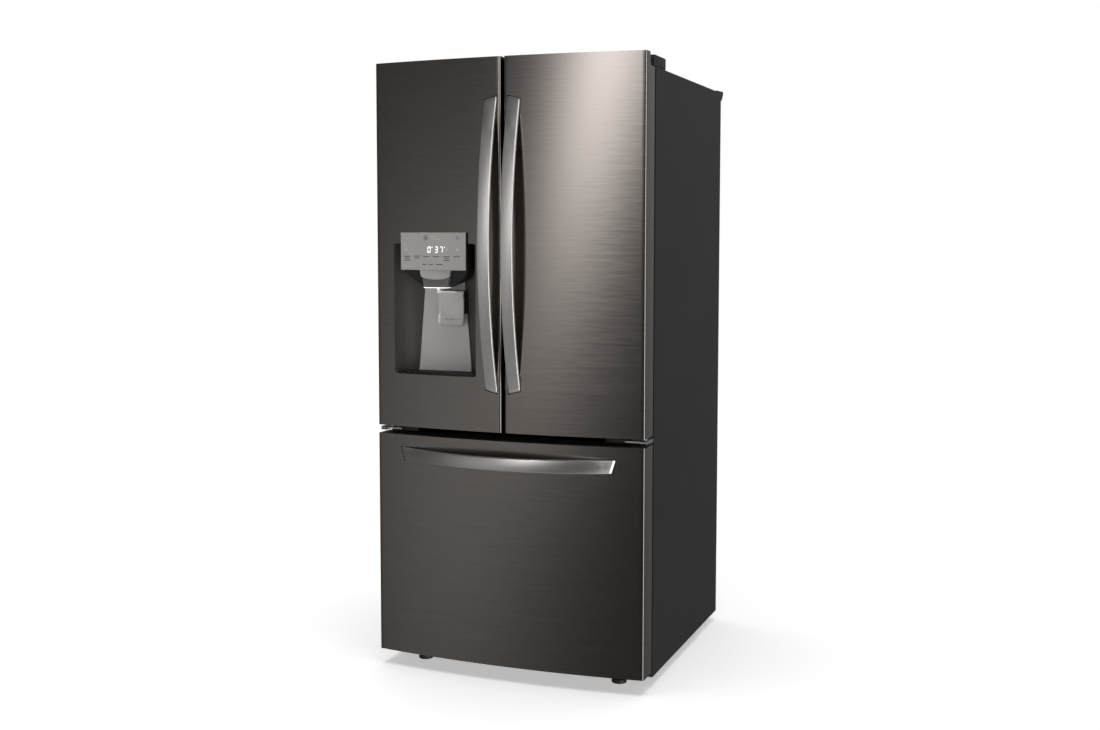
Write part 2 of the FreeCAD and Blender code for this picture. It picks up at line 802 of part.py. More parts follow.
def recess_hole(grow=0.0):
    """The hollow of the dispenser, from in front of the door to its back wall."""
    hole = box(recess_x0 - grow, recess_x1 + grow, -200, -recess_back + grow,
               recess_z0 - grow, recess_z1 + grow)
    uprights = [e for e in hole.Edges if abs(e.Vertexes[0].Y - e.Vertexes[-1].Y) > 1]
    return hole.makeFillet(8.0 + grow, uprights)


def dispenser_housing():
    """Moulded tub of the recess, with the ears that carry the paddle."""
    whole = recess_hole(recess_sheet)
    behind_skin = front_block(recess_x0 - 5, recess_x1 + 5, recess_z0 - 5, recess_z1 + 5, 0, door_sheet)
    tub = whole.common(behind_skin).cut(recess_hole())
    ears = [box(paddle_x + side * (paddle_wide / 2 + 3) - 2, paddle_x + side * (paddle_wide / 2 + 3) + 2,
                paddle_y - 5, -recess_back, paddle_top - 9, paddle_top + 3) for side in (-1, 1)]
    pin = rod_x(2, paddle_x - paddle_wide / 2 - 4, paddle_x + paddle_wide / 2 + 4, paddle_y, paddle_top - 4)
    return fused([tub] + ears + [pin])


def dispenser_panel():
    """Control panel that stands a little proud of the door, over the top of the recess."""
    front = front_block(panel_x0, panel_x1, panel_z0, panel_z1, -60, -panel_proud)
    front = front.makeFillet(2.0, [e for e in front.Edges if e.CenterOfMass.y < -80 and e.Length > 50])
    over_door = box(-half, 0, -200, 0, recess_z1, door_top)
    above = front_block(panel_x0 - 5, panel_x1 + 5, recess_z1, panel_z1 + 5, 0, 0.0)
    return front.cut(above.common(over_door))


def dispenser_chute():
    """Funnel that narrows from the panel down to the ice and water outlet."""
    def ring(x0, x1, y0, y1, z):
        corners = [V(x0, y0, z), V(x1, y0, z), V(x1, y1, z), V(x0, y1, z)]
        return Part.makePolygon(corners + corners[:1])
    top = ring(panel_x0 + 4, panel_x1 - 4, -92, -recess_back - 5, panel_z0)
    low = ring(paddle_x - 72, paddle_x + 10, -84, paddle_y - 8, paddle_top + 8)
    funnel = Part.makeLoft([top, low], True, True)
    nozzle = post(5, paddle_x - 30, -70, paddle_top - 6, paddle_top + 10)
    collar = box(panel_x0 + 4, panel_x1 - 4, -60, -recess_back, panel_z0 - 12, recess_z1)
    return fused([funnel.cut(collar), collar, nozzle])


def dispenser_paddle():
    """Push paddle that hangs from its pin; a glass pushes its lower end back."""
    half_wide = paddle_wide / 2
    plate = box(paddle_x - half_wide, paddle_x + half_wide, paddle_y - paddle_thick / 2,
                paddle_y + paddle_thick / 2, paddle_top - paddle_tall, paddle_top - 4)
    lower = [e for e in plate.Edges if e.CenterOfMass.z < paddle_top - paddle_tall + 1
             and abs(e.Vertexes[0].Y - e.Vertexes[-1].Y) > 1]
    plate = plate.makeFillet(14.0, lower)
    barrel = rod_x(4, paddle_x - half_wide, paddle_x + half_wide, paddle_y, paddle_top - 4)
    bore = rod_x(2 + pin_clearance, paddle_x - paddle_wide, paddle_x + paddle_wide, paddle_y, paddle_top - 4)
    return fused([plate, barrel]).cut(bore)


def drip_tray():
    """Lift-out grid on the floor of the recess."""
    front = front_block(recess_x0 + 9, recess_x1 - 9, recess_z0, recess_z0 + 8, -recess_back - 14, 8.0)
    slots = [box(x, x + 5, -96, -recess_back - 24, recess_z0 + 3, recess_z0 + 9)
             for x in [recess_x0 + 24 + 12 * i for i in range(int((recess_x1 - recess_x0 - 50) / 12) + 1)]]
    return front.cut(fused_all(slots))


ice_x0 = -dyke_outer + dyke_wall
ice_x1 = -dyke_centre - dyke_wall
ice_z0 = recess_z1 + 20.0
ice_z1 = fridge_ceiling - 60.0
ice_wall = 12.0
ice_cover_thick = 10.0
ice_pin = 2.0
ice_pin_edge = 3.8
ice_cover_gap = 1.5
ice_pin_x = ice_x0 + 6.0
ice_pin_y = bin_depth + 6.0


def ice_room():
    """Insulated ice compartment on the inner side of the left door, open to its hinged cover."""
    outer = box(ice_x0, ice_x1, -door_back, bin_depth - ice_cover_gap, ice_z0, ice_z1)
    room = outer.cut(box(ice_x0 + ice_wall, ice_x1 - ice_wall, -door_back + 4, bin_depth + 1,
                         ice_z0 + ice_wall, ice_z1 - ice_wall))
    ears = [box(ice_x0, ice_x0 + 12, bin_depth - 20, ice_pin_y + 5, z, z + 6) for z in (ice_z0, ice_z1 - 6)]
    pins = [post(ice_pin, ice_pin_x, ice_pin_y, z0, z0 + 18) for z0 in (ice_z0, ice_z1 - 18)]
    return fused([room] + ears + pins)


def ice_room_cover():
    """Cover of the ice compartment; it hangs on two pins at its outer edge and has a finger catch."""
    panel = box(ice_pin_x - ice_pin_edge, ice_x1, bin_depth, bin_depth + ice_cover_thick,
                ice_z0 + 7, ice_z1 - 7)
    catch = box(ice_x1 - 16, ice_x1 - 4, bin_depth + ice_cover_thick - 1, bin_depth + ice_cover_thick + 7,
                ice_z0 + 140, ice_z0 + 200)
    bores = [post(ice_pin + pin_clearance, ice_pin_x, ice_pin_y, z0, z0 + 13)
             for z0 in (ice_z0 + 6, ice_z1 - 19)]
    return fused([panel, catch]).cut(fused_all(bores))


# ---------------- mullion flap ----------------

flap_low = fridge_floor + 14.0
flap_high = fridge_ceiling - 26.0
guide_reach = 55.0


def mullion():
    """Flap that folds back along the left door's edge and swings out behind the split."""
    x1 = -flap_pivot_x + flap_pivot_y
    bar = box(x1 - flap_thick, x1, 0, flap_long, flap_low, flap_high)
    nub = post(4, -flap_pivot_x - 5, flap_pivot_y + guide_reach, flap_high, flap_high + 14)
    bores = [post(flap_pin + pin_clearance, -flap_pivot_x, flap_pivot_y, z0, z0 + 22)
             for z0 in (flap_low - 1, flap_high - 21)]
    return fused([bar, nub]).cut(fused_all(bores))


def mullion_brackets():
    """Two ears of the left door's liner, with the pins that the flap turns on."""
    brackets = []
    for z, up in ((flap_low, 1), (flap_high, -1)):
        z0, z1 = (z - 4.5, z - 0.5) if up > 0 else (z + 0.5, z + 4.5)
        arm = box(-dyke_centre, -flap_pivot_x + 5, flap_pivot_y - 5, flap_pivot_y + 5, z0, z1)
        ends = (z0, z + 19) if up > 0 else (z - 19, z1)
        brackets.append(fused([arm, post(flap_pin, -flap_pivot_x, flap_pivot_y, ends[0], ends[1])]))
    return brackets


def mullion_guide():
    """Block on the fridge's ceiling; its curved slot steers the flap's nub as the door closes."""
    low = flap_high + 6.0
    block = box(-85, 85, 3, 100, low, fridge_ceiling)
    pivot = V(-flap_pivot_x, flap_pivot_y, low - 1)
    ring = Part.makeCylinder(guide_reach + 9, 12, pivot).cut(Part.makeCylinder(guide_reach - 9, 12, pivot))
    quarter = ring.common(box(-flap_pivot_x - 12, 80, -20, 90, low - 2, low + 12))
    channel = box(-flap_pivot_x - 15, -flap_pivot_x + 16, 0, flap_pivot_y + guide_reach + 12,
                  low - 1, low + 10)
    return block.cut(quarter).cut(channel)


# ---------------- freezer drawer ----------------

def drawer_bar():
    """The drawer's bar bows forward along x; its ends are cut on a slant, longer at the top."""
    z1 = drawer_top - drawer_handle_from_top
    z0 = z1 - drawer_handle_wide
    reach = drawer_handle_length / 2
    face = front_at(reach)
    rise = handle_proud + face - front_at(0)
    radius = bow_radius(reach, rise)
    centre = face - rise + radius
    outer = Part.makeCylinder(radius, z1 - z0, V(0, centre, z0))
    inner = Part.makeCylinder(radius - handle_thick, z1 - z0 + 2, V(0, centre, z0 - 1))
    bar = outer.common(box(-reach, reach, face - rise - 1, face + socket_depth, z0, z1)).cut(inner)
    for side in (-1, 1):
        tip = side * (reach + 1)
        bar = slant_cut(bar, [(tip, z0 - 1), (side * (reach - handle_slant), z0 - 1), (tip, z1)])
    return bar


def drawer_sockets():
    z1 = drawer_top - drawer_handle_from_top + handle_gap
    z0 = z1 - drawer_handle_wide - 2 * handle_gap
    reach = drawer_handle_length / 2 + handle_gap
    face = front_at(reach)
    pocket = box(reach - drawer_socket_long, reach, face - 60, face + socket_depth, z0, z1)
    return [pocket, mirrored(pocket)]


def freezer_handle():
    z = drawer_top - drawer_handle_from_top - drawer_handle_wide / 2
    reach = drawer_handle_length / 2 - stud_from_end
    face = front_at(drawer_handle_length / 2)
    posts = [rod_y(stud_radius, s * reach, face - 2, face + socket_depth, z) for s in (-1, 1)]
    return fused([drawer_bar()] + posts)


def drawer_skin():
    return shell_of(-half, half, drawer_bottom, drawer_top).cut(fused_all(drawer_sockets()))


def drawer_caps():
    t, rear = door_sheet, -door_back - door_liner_sheet
    return Part.makeCompound([front_block(-half + t, half - t, z, z + cap_sheet, rear, t, door_edge_radius - t)
                              for z in (drawer_bottom, drawer_top - cap_sheet)])


def drawer_foam():
    block = core_of(-half, half, drawer_bottom + cap_sheet, drawer_top - cap_sheet)
    return block.fuse(core_ring(drawer_dyke)).cut(fused_all(drawer_sockets()))


def drawer_liner():
    return door_liner_of(-half, half, drawer_bottom, drawer_top, drawer_dyke(), core_ring(drawer_dyke))


rail_z = freezer_floor + 350.0
rail_tall = 48.0
outer_rail_x = inner_half - 10.0
rail_back = step_front + 80.0


def channel(x0, x1, y0, y1, z0, z1, wall):
    """A C-section rail that opens toward the middle."""
    return box(x0, x1, y0, y1, z0, z1).cut(box(x0 - 1, x1 - wall, y0 - 1, y1 + 1, z0 + wall, z1 - wall))


def freezer_rail_outer():
    return both_sides(channel(outer_rail_x, inner_half, 20, rail_back, rail_z, rail_z + rail_tall, 2))


def freezer_rail_mid():
    p = slide_play
    return both_sides(channel(outer_rail_x - 2, inner_half - 2 - p, 12, rail_back - 60,
                              rail_z + 2 + p, rail_z + rail_tall - 2 - p, 2))


def freezer_rail_inner():
    p = slide_play
    bar = box(outer_rail_x - 5, inner_half - 4 - 2 * p, -door_back, rail_back - 120,
              rail_z + 4 + 2 * p, rail_z + rail_tall - 4 - 2 * p)
    return both_sides(bar)


def freezer_basket():
    """Deep bin that rides on the drawer's inner rails."""
    x1 = outer_rail_x - 18
    high = rail_z + rail_tall - 10
    body = tray(-x1, x1, 44, step_front - 14, freezer_floor + 12, high, freezer_bin_sheet)
    rim = [box(min(s * x1, s * (outer_rail_x - 5)), max(s * x1, s * (outer_rail_x - 5)),
               60, step_front - 30, high - 14, high - 8) for s in (-1, 1)]
    split = box(-2, 2, 44, step_front - 14, freezer_floor + 14, high - 40)
    return fused([body, split] + rim)


tray_low = rail_z + rail_tall + 20.0


def freezer_tray():
    """Shallow sliding tray over the deep bin."""
    x1 = inner_half - 22
    high = tray_low + 85
    body = tray(-x1, x1, 60, cavity_back - 90, tray_low, high, freezer_bin_sheet)
    rim = [box(min(s * x1, s * (inner_half - 5)), max(s * x1, s * (inner_half - 5)),
               70, cavity_back - 100, high - 8, high - 4) for s in (-1, 1)]
    return fused([body] + rim)


def freezer_liner():
    """The freezer's liner with the two moulded ledges that carry the upper tray."""
    high = tray_low + 85 - 8 - slide_play
    ledge = box(inner_half - 16, inner_half, 60, cavity_back - 80, high - 10, high)
    return fused([liner(freezer_room, freezer_floor, freezer_ceiling), ledge, mirrored(ledge)])


# ---------------- the pieces ----------------

def save_cabinet():
    save("case_shell", case_shell())
    save("case_back", case_back())
    save("cabinet_foam", cabinet_foam())
    save("fridge_liner", liner(fridge_room, fridge_floor, fridge_ceiling))
    save("freezer_liner", freezer_liner())
    save("base_frame", base_frame())
    save("leveling_feet", leveling_feet())
    save("rear_roller_left", rear_roller(-1))
    save("rear_roller_right", rear_roller(1))
    save("rear_top_spacer", rear_top_spacer())
    hinges = [top_hinge(), center_hinge()]
    save("door_hinges", Part.makeCompound(hinges + [mirrored(h) for h in hinges]))
    save("hinge_covers", both_sides(hinge_cover()))


def save_cooling():
    save("compressor", compressor())
    save("condenser", condenser())
    save("fan_motors", Part.makeCompound([condenser_fan_motor(), freezer_fan_motor()]))
    save("condenser_fan", condenser_fan())
    save("machine_cover", machine_cover())
    save("evaporator", evaporator())
    save("evaporator_fan", evaporator_fan())
    save("air_ducts", Part.makeCompound([freezer_duct_cover(), fridge_air_tower()]))
    save("water_inlet", water_inlet())


def save_interior():
    save("shelf_tracks", shelf_tracks())
    frames = [shelf_frame(z) for z in shelf_levels]
    save("shelf_frames", Part.makeCompound(frames + [mirrored(f) for f in frames] + [crisper_cover()]))
    save("shelf_glass", shelf_glass())
    save("crisper_right", crisper())
    save("crisper_left", mirrored(crisper()))
    save("mullion", mullion())
    save("mullion_guide", mullion_guide())


def save_doors():
    x0, x1 = door_range()
    top_cap, bottom_cap = door_caps()
    plate = door_liner_of(x0, x1, door_bottom, door_top, door_dyke(), core_ring(door_dyke)).cut(notch())
    skin, foam = door_skin(), door_foam()
    sockets = fused_all(socket())
    save("right_door_skin", skin)
    save("right_door_foam", foam.cut(sockets))
    save("right_door_liner", plate)
    save("right_door_caps", Part.makeCompound([top_cap, bottom_cap]))
    save("right_door_gasket", door_gasket())
    save("right_handle", door_handle())
    save("right_door_bins", Part.makeCompound(door_bins(range(bin_rows))))
    save("left_door_skin", mirrored(skin).cut(recess_hole()))
    save("left_door_foam", mirrored(foam.cut(sockets)).cut(recess_hole(recess_sheet)))
    save("left_door_liner", fused([mirrored(plate)] + mullion_brackets()))
    save("left_door_caps", mirrored(Part.makeCompound([top_cap, bottom_cap])))
    save("left_door_gasket", mirrored(door_gasket()))
    save("left_handle", mirrored(door_handle()))
    save("left_door_bins", mirrored(Part.makeCompound(door_bins(range(2)))))


def save_dispenser():
    save("dispenser_housing", dispenser_housing())
    save("dispenser_panel", dispenser_panel())
    save("dispenser_chute", dispenser_chute())
    save("dispenser_paddle", dispenser_paddle())
    save("drip_tray", drip_tray())
    save("ice_room", ice_room())
    save("ice_room_cover", ice_room_cover())


def save_freezer():
    save("freezer_door_skin", drawer_skin())
    save("freezer_door_foam", drawer_foam())
    save("freezer_door_liner", drawer_liner())
    save("freezer_door_caps", drawer_caps())
    save("freezer_door_gasket", drawer_gasket())
    save("freezer_handle", freezer_handle())
    save("freezer_rail_outer", freezer_rail_outer())
    save("freezer_rail_mid", freezer_rail_mid())
    save("freezer_rail_inner", freezer_rail_inner())
    save("freezer_basket", freezer_basket())
    save("freezer_tray", freezer_tray())


save_cabinet()
save_cooling()
save_interior()
save_doors()
save_dispenser()
save_freezer()

os.makedirs("parts", exist_ok=True)
for name, shape in nodes.items():
    shape.exportStep("parts/" + name + ".step")
print(len(nodes), "nodes")
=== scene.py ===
import math

import bmesh
import bpy
from mathutils import Matrix, Vector


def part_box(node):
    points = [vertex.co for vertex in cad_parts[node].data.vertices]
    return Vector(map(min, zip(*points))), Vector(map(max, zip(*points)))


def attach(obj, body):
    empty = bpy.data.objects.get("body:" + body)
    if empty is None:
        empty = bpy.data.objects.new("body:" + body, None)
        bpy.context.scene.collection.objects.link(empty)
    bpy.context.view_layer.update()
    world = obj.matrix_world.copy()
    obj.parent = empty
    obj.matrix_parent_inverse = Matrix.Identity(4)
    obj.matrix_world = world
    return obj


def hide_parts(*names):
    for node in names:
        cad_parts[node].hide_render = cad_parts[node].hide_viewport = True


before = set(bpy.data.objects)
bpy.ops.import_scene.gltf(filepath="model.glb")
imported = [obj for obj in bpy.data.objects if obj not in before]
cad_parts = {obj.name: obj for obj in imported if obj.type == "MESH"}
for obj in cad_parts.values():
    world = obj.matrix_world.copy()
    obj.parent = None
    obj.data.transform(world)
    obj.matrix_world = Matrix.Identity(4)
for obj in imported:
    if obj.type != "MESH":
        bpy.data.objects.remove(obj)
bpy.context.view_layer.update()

# ---------------- the case ----------------
# The case is one sheet of pre-painted steel wrapped round both sides and the top, with folded front flanges
# and a welded cross-rail between the two compartments. The paint has a fine pebbled texture.

case_low, case_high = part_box("case_shell")
case_front = case_low.y
half = case_high.x * 1000
case_bottom = case_low.z * 1000
case_top = case_high.z * 1000
case_depth = (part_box("case_back")[1].y - case_front) * 1000


class Wired:
    """A value that varies over a surface. Arithmetic on it adds Math nodes to its finish."""

    def __init__(self, finish, socket):
        self.finish = finish
        self.socket = socket

    def maths(self, operation, *values):
        inputs = dict(enumerate(values))
        return self.finish.node("Math", {"operation": operation}, inputs)

    def __add__(self, other):
        return self.maths("ADD", self, other)

    def __sub__(self, other):
        return self.maths("SUBTRACT", self, other)

    def __rsub__(self, other):
        return self.maths("SUBTRACT", other, self)

    def __mul__(self, other):
        return self.maths("MULTIPLY", self, other)

    def __truediv__(self, other):
        return self.maths("DIVIDE", self, other)

    def __pow__(self, other):
        return self.maths("POWER", self, other)

    __radd__ = __add__
    __rmul__ = __mul__


class Finish:
    """A material. Fixed values are set on its shader; node() adds what varies over the surface."""

    def __init__(self, name, colour, roughness, **fixed):
        self.material = bpy.data.materials.new(name)
        self.material.use_nodes = True
        self.tree = self.material.node_tree
        self.shader = self.tree.nodes["Principled BSDF"]
        self.set("Base Color", (*colour, 1))
        self.set("Roughness", roughness)
        for socket, value in fixed.items():
            self.set(socket.replace("_", " "), value)
        self.here = self.node("TexCoord", out="Object")

    def join(self, value, socket):
        if isinstance(value, Wired):
            self.tree.links.new(value.socket, socket)
        else:
            socket.default_value = value

    def set(self, socket, value):
        self.join(value, self.shader.inputs[socket])

    def node(self, kind, settings=None, inputs=None, out=0):
        node = self.tree.nodes.new("ShaderNode" + kind)
        for key, value in (settings or {}).items():
            setattr(node, key, value)
        for key, value in (inputs or {}).items():
            self.join(value, node.inputs[key])
        return Wired(self, node.outputs[out])

    def stretched(self, x, y, z):
        """Where a point is, with each axis stretched, so that a pattern on it draws out into a grain."""
        return self.node("Mapping", {}, {"Vector": self.here, "Scale": (x, y, z)})

    def noise(self, scale, detail=2, where=None, roughness=0.5):
        inputs = {"Vector": where or self.here, "Scale": scale, "Detail": detail, "Roughness": roughness}
        return self.node("TexNoise", {}, inputs)

    def between(self, factor, first, second):
        """A colour that runs from first to second."""
        return self.node("Mix", {"data_type": "RGBA"}, {0: factor, 6: (*first, 1), 7: (*second, 1)}, out=2)

    def bumps(self, height, strength, deep):
        self.set("Normal", self.node("Bump", {}, {"Strength": strength, "Distance": deep, "Height": height}))


def case_paint():
    paint = Finish("case_paint", (0.03, 0.03, 0.032), 0.5, Specular_IOR_Level=0.3)
    pebble = paint.noise(420, 3)
    patch = paint.noise(2.5, 2)
    paint.set("Base Color", paint.between(patch, (0.017, 0.017, 0.0185), (0.024, 0.024, 0.026)))
    paint.set("Roughness", 0.5 + pebble * 0.14)
    paint.bumps(pebble, 0.35, 0.0004)
    return paint


def put(x, y, z):
    """A point in millimetres from the middle of the case's front face, at floor height."""
    return Vector((x / 1000, case_front + y / 1000, z / 1000))


def block(bm, x0, x1, y0, y1, z0, z1, soft=0.0, steps=2):
    """Adds a block; soft is the radius of its edges."""
    middle = (put(x0, y0, z0) + put(x1, y1, z1)) / 2
    size = put(x1, y1, z1) - put(x0, y0, z0)
    made = bmesh.ops.create_cube(bm, size=1, matrix=Matrix.Translation(middle) @ Matrix.Diagonal((*size, 1)))
    edges = {edge for vert in made["verts"] for edge in vert.link_edges}
    if soft:
        bmesh.ops.bevel(bm, geom=list(edges), offset=soft / 1000, segments=steps, profile=0.5, affect="EDGES",
                        clamp_overlap=True)


def prism(bm, outline, along, low, high):
    """Adds a prism: outline is pairs across the axis named along, which it runs on from low to high."""
    def corner(u, v, w):
        return put(*{"x": (w, u, v), "y": (u, w, v), "z": (u, v, w)}[along])
    first = [bm.verts.new(corner(u, v, low)) for u, v in outline]
    last = [bm.verts.new(corner(u, v, high)) for u, v in outline]
    bm.faces.new(first)
    bm.faces.new(last[::-1])
    for i in range(len(outline)):
        j = (i + 1) % len(outline)
        bm.faces.new((first[i], last[i], last[j], first[j]))
    bmesh.ops.recalc_face_normals(bm, faces=bm.faces)


def round_rect(x0, x1, z0, z1, radius, steps=5):
    """The corners of a rectangle with round corners."""
    outline = []
    for cx, cz, start in ((x1 - radius, z1 - radius, 0), (x0 + radius, z1 - radius, 90),
                          (x0 + radius, z0 + radius, 180), (x1 - radius, z0 + radius, 270)):
        for i in range(steps + 1):
            turn = math.radians(start + 90 * i / steps)
            outline.append((cx + radius * math.cos(turn), cz + radius * math.sin(turn)))
    return outline


def carve(bm, tool):
    """Cuts one mesh out of another."""
    pair = []
    for shape in (bm, tool):
        mesh = bpy.data.meshes.new("cut")
        bmesh.ops.recalc_face_normals(shape, faces=shape.faces)
        shape.to_mesh(mesh)
        shape.free()
        pair.append(bpy.data.objects.new("cut", mesh))
        bpy.context.scene.collection.objects.link(pair[-1])
    modifier = pair[0].modifiers.new("cut", "BOOLEAN")
    modifier.operation = "DIFFERENCE"
    modifier.solver = "EXACT"
    modifier.object = pair[1]
    bpy.context.view_layer.update()
    evaluated = pair[0].evaluated_get(bpy.context.evaluated_depsgraph_get())
    left = bmesh.new()
    left.from_mesh(evaluated.to_mesh())
    for used in pair:
        bpy.data.objects.remove(used)
    return left


def fit(name, bm, finish, body, slot, *nodes, sharp=32):
    """Puts a finished mesh on its body, in place of the CAD nodes that it stands for."""
    mesh = bpy.data.meshes.new(name)
    bmesh.ops.recalc_face_normals(bm, faces=bm.faces)
    bm.to_mesh(mesh)
    bm.free()
    mesh.materials.append(finish.material)
    mesh.shade_smooth()
    mesh.set_sharp_from_angle(angle=math.radians(sharp))
    piece = bpy.data.objects.new(name, mesh)
    bpy.context.scene.collection.objects.link(piece)
    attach(piece, body)
    if nodes:
        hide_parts(*nodes)
    return piece


sheet = 1.0
wrap = bmesh.new()
wall_outline = []
for inset in (0, sheet):
    side = half - inset
    lid = case_top - inset
    bend = 2.9 - inset
    edge = [(side, case_bottom)] + [(side - bend + bend * math.cos(math.radians(a)),
                                     lid - bend + bend * math.sin(math.radians(a))) for a in range(0, 91, 15)]
    edge += [(-x, z) for x, z in reversed(edge)]
    wall_outline += edge if inset == 0 else edge[::-1]
prism(wrap, wall_outline, "y", 0, case_depth - sheet)
vents = bmesh.new()
for side in (-1, 1):
    low, high = sorted((side * (half - 0.5), side * (half + 2)))
    for row in range(7):
        for bank in range(3):
            y0 = 592 + bank * 36
            z0 = 132 + row * 21
            prism(vents, round_rect(y0, y0 + 26, z0, z0 + 5, 2.4), "x", low, high)
wrap = carve(wrap, vents)
front_flange = bmesh.new()
block(front_flange, -half + 1.2, half - 1.2, 0, sheet, case_bottom, case_top - 1.2, 0.3)
openings = bmesh.new()
flange_half = 370.0
freezer_low, freezer_high = 83.0, 672.0
fridge_low, fridge_high = 757.0, 1700.0
block(openings, -flange_half, flange_half, -2, 3, freezer_low, freezer_high)
block(openings, -flange_half, flange_half, -2, 3, fridge_low, fridge_high)
front_flange = carve(front_flange, openings)
paint = case_paint()
fit("case_wrap", wrap, paint, "cabinet", "case_paint", "case_shell")
fit("case_flange", front_flange, paint, "cabinet", "case_paint")
case_floor = bmesh.new()
block(case_floor, -half + sheet, half - sheet, 0, 533, case_bottom, case_bottom + sheet, 0.3)
block(case_floor, -half + sheet, half - sheet, 532, 533, case_bottom + sheet, 250, 0.3)
block(case_floor, -half + sheet, half - sheet, 532, case_depth - sheet, 250, 251, 0.3)
fit("case_floor", case_floor, paint, "cabinet", "case_paint")

# ---------------- back, foam and base ----------------
# The flat back, the machine bay's cover and the base rails are galvanised steel with a faint spangle,
# screwed to the case. Polyurethane foam fills the walls and bonds them all.


def galvanised():
    steel = Finish("galvanised_steel", (0.4, 0.41, 0.42), 0.45, Metallic=1.0)
    spangle = steel.node("TexVoronoi", {}, {"Vector": steel.here, "Scale": 130}, out="Color")
    facet = steel.node("SeparateColor", {}, {"Color": spangle})
    steel.set("Base Color", steel.between(facet, (0.37, 0.38, 0.39), (0.45, 0.46, 0.47)))
    steel.set("Roughness", 0.42 + facet * 0.1)
    return steel


def wall_foam():
    foam = Finish("insulation_foam", (0.75, 0.62, 0.36), 0.9)
    cells = foam.noise(900, 4)
    foam.set("Base Color", foam.between(cells, (0.62, 0.50, 0.27), (0.80, 0.70, 0.44)))
    foam.bumps(cells, 0.6, 0.001)
    return foam


def paint_node(finish, *nodes):
    """Gives CAD nodes a finish in place of their plain colour."""
    for name in nodes:
        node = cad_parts[name]
        node.data.materials.clear()
        node.data.materials.append(finish.material)
        node.data.shade_smooth()
        node.data.set_sharp_from_angle(angle=math.radians(25))


zinc = galvanised()
paint_node(zinc, "case_back", "base_frame", "shelf_tracks")
foam = wall_foam()
paint_node(foam, "cabinet_foam", "left_door_foam", "right_door_foam", "freezer_door_foam")


def screw(bm, x, y, z, facing):
    """Adds a pan-head screw whose head faces along a direction."""
    turn = Vector(facing).to_track_quat("Z", "Y").to_matrix().to_4x4()
    for low, high, wide, narrow in ((0.0, 1.2, 4.0, 4.0), (1.2, 2.4, 4.0, 2.2)):
        where = Matrix.Translation(put(x, y, z)) @ turn @ Matrix.Translation((0, 0, (low + high) / 2000))
        bmesh.ops.create_cone(bm, cap_ends=True, segments=20, radius1=wide / 1000, radius2=narrow / 1000,
                              depth=(high - low) / 1000, matrix=where)


def bright_zinc():
    steel = Finish("hinge_steel", (0.55, 0.55, 0.54), 0.3, Metallic=1.0)
    rub = steel.noise(1, 3, steel.stretched(60, 60, 900))
    steel.set("Base Color", steel.between(rub, (0.42, 0.42, 0.41), (0.66, 0.65, 0.63)))
    steel.set("Roughness", 0.22 + rub * 0.22)
    return steel


def moulded_black():
    plastic = Finish("dark_plastic", (0.012, 0.012, 0.013), 0.5)
    grain = plastic.noise(1100, 2)
    plastic.set("Base Color", plastic.between(grain, (0.009, 0.009, 0.010), (0.018, 0.018, 0.019)))
    plastic.set("Roughness", 0.42 + grain * 0.18)
    plastic.bumps(grain, 0.3, 0.0003)
    return plastic


hinge_finish = bright_zinc()
black = moulded_black()
paint_node(black, "leveling_feet", "fan_motors")

cover_sheet = bmesh.new()
cover_outline = round_rect(-half + 6, half - 6, case_bottom + 4, 251, 4)
prism(cover_sheet, cover_outline, "y", case_depth - 1, case_depth - 0.1)
slots = bmesh.new()
for bank in (-1, 1):
    for row in range(9):
        z = case_bottom + 35 + row * 19
        slot = round_rect(bank * 210 - 130, bank * 210 + 130, z, z + 7, 3.4)
        prism(slots, slot, "y", case_depth - 5, case_depth + 5)
cover_sheet = carve(cover_sheet, slots)
fit("rear_cover", cover_sheet, zinc, "cabinet", "galvanised_steel", "machine_cover")
hoods = bmesh.new()
for bank in (-1, 1):
    for row in range(9):
        z = case_bottom + 35 + row * 19
        hood = [(case_depth - 1, z + 7), (case_depth + 3, z + 1), (case_depth + 2.4, z + 0.4),
                (case_depth - 1, z + 5.6)]
        prism(hoods, hood, "x", bank * 210 - 129, bank * 210 + 129)
fit("rear_cover_louvres", hoods, zinc, "cabinet", "galvanised_steel")
back_screws = bmesh.new()
for x in (-395, -200, 0, 200, 395):
    for z in (1741, 260, 241, 44):
        screw(back_screws, x, case_depth, z, (0, 1, 0))
for z in range(420, 1700, 240):
    for x in (-405, 405):
        screw(back_screws, x, case_depth, z, (0, 1, 0))
fit("back_screws", back_screws, hinge_finish, "cabinet", "hinge_steel")


def roller_nylon():
    nylon = Finish("bin_plastic", (0.62, 0.63, 0.64), 0.4, Subsurface_Weight=0.1)
    cloud = nylon.noise(30, 3)
    nylon.set("Base Color", nylon.between(cloud, (0.56, 0.57, 0.58), (0.68, 0.69, 0.70)))
    nylon.set("Roughness", 0.34 + cloud * 0.14)
    return nylon


def quads(bm, loops, ring=True, closed=False):
    """Joins neighbouring loops of corners with faces; closed also joins the last loop to the first."""
    for near, far in zip(loops, loops[1:] + (loops[:1] if closed else [])):
        for j in range(len(near) if ring else len(near) - 1):
            k = (j + 1) % len(near)
            bm.faces.new((near[j], near[k], far[k], far[j]))


white_plastic = roller_nylon()
for side, body in (("left", "left_roller"), ("right", "right_roller")):
    low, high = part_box("rear_roller_" + side)
    centre = (low + high) / 2
    wheel = bmesh.new()
    tread = [(4.1, -9), (11, -9), (11, -6), (13, -7.5), (13.9, -6), (14, 0), (13.9, 6), (13, 7.5), (11, 6),
             (11, 9), (4.1, 9)]
    rings = []
    for i in range(48):
        turn = math.radians(7.5 * i)
        rings.append([wheel.verts.new(centre + Vector((w, r * math.cos(turn), r * math.sin(turn))) / 1000)
                      for r, w in tread])
    quads(wheel, rings, closed=True)
    fit("roller_" + side, wheel, white_plastic, body, "bin_plastic", "rear_roller_" + side)

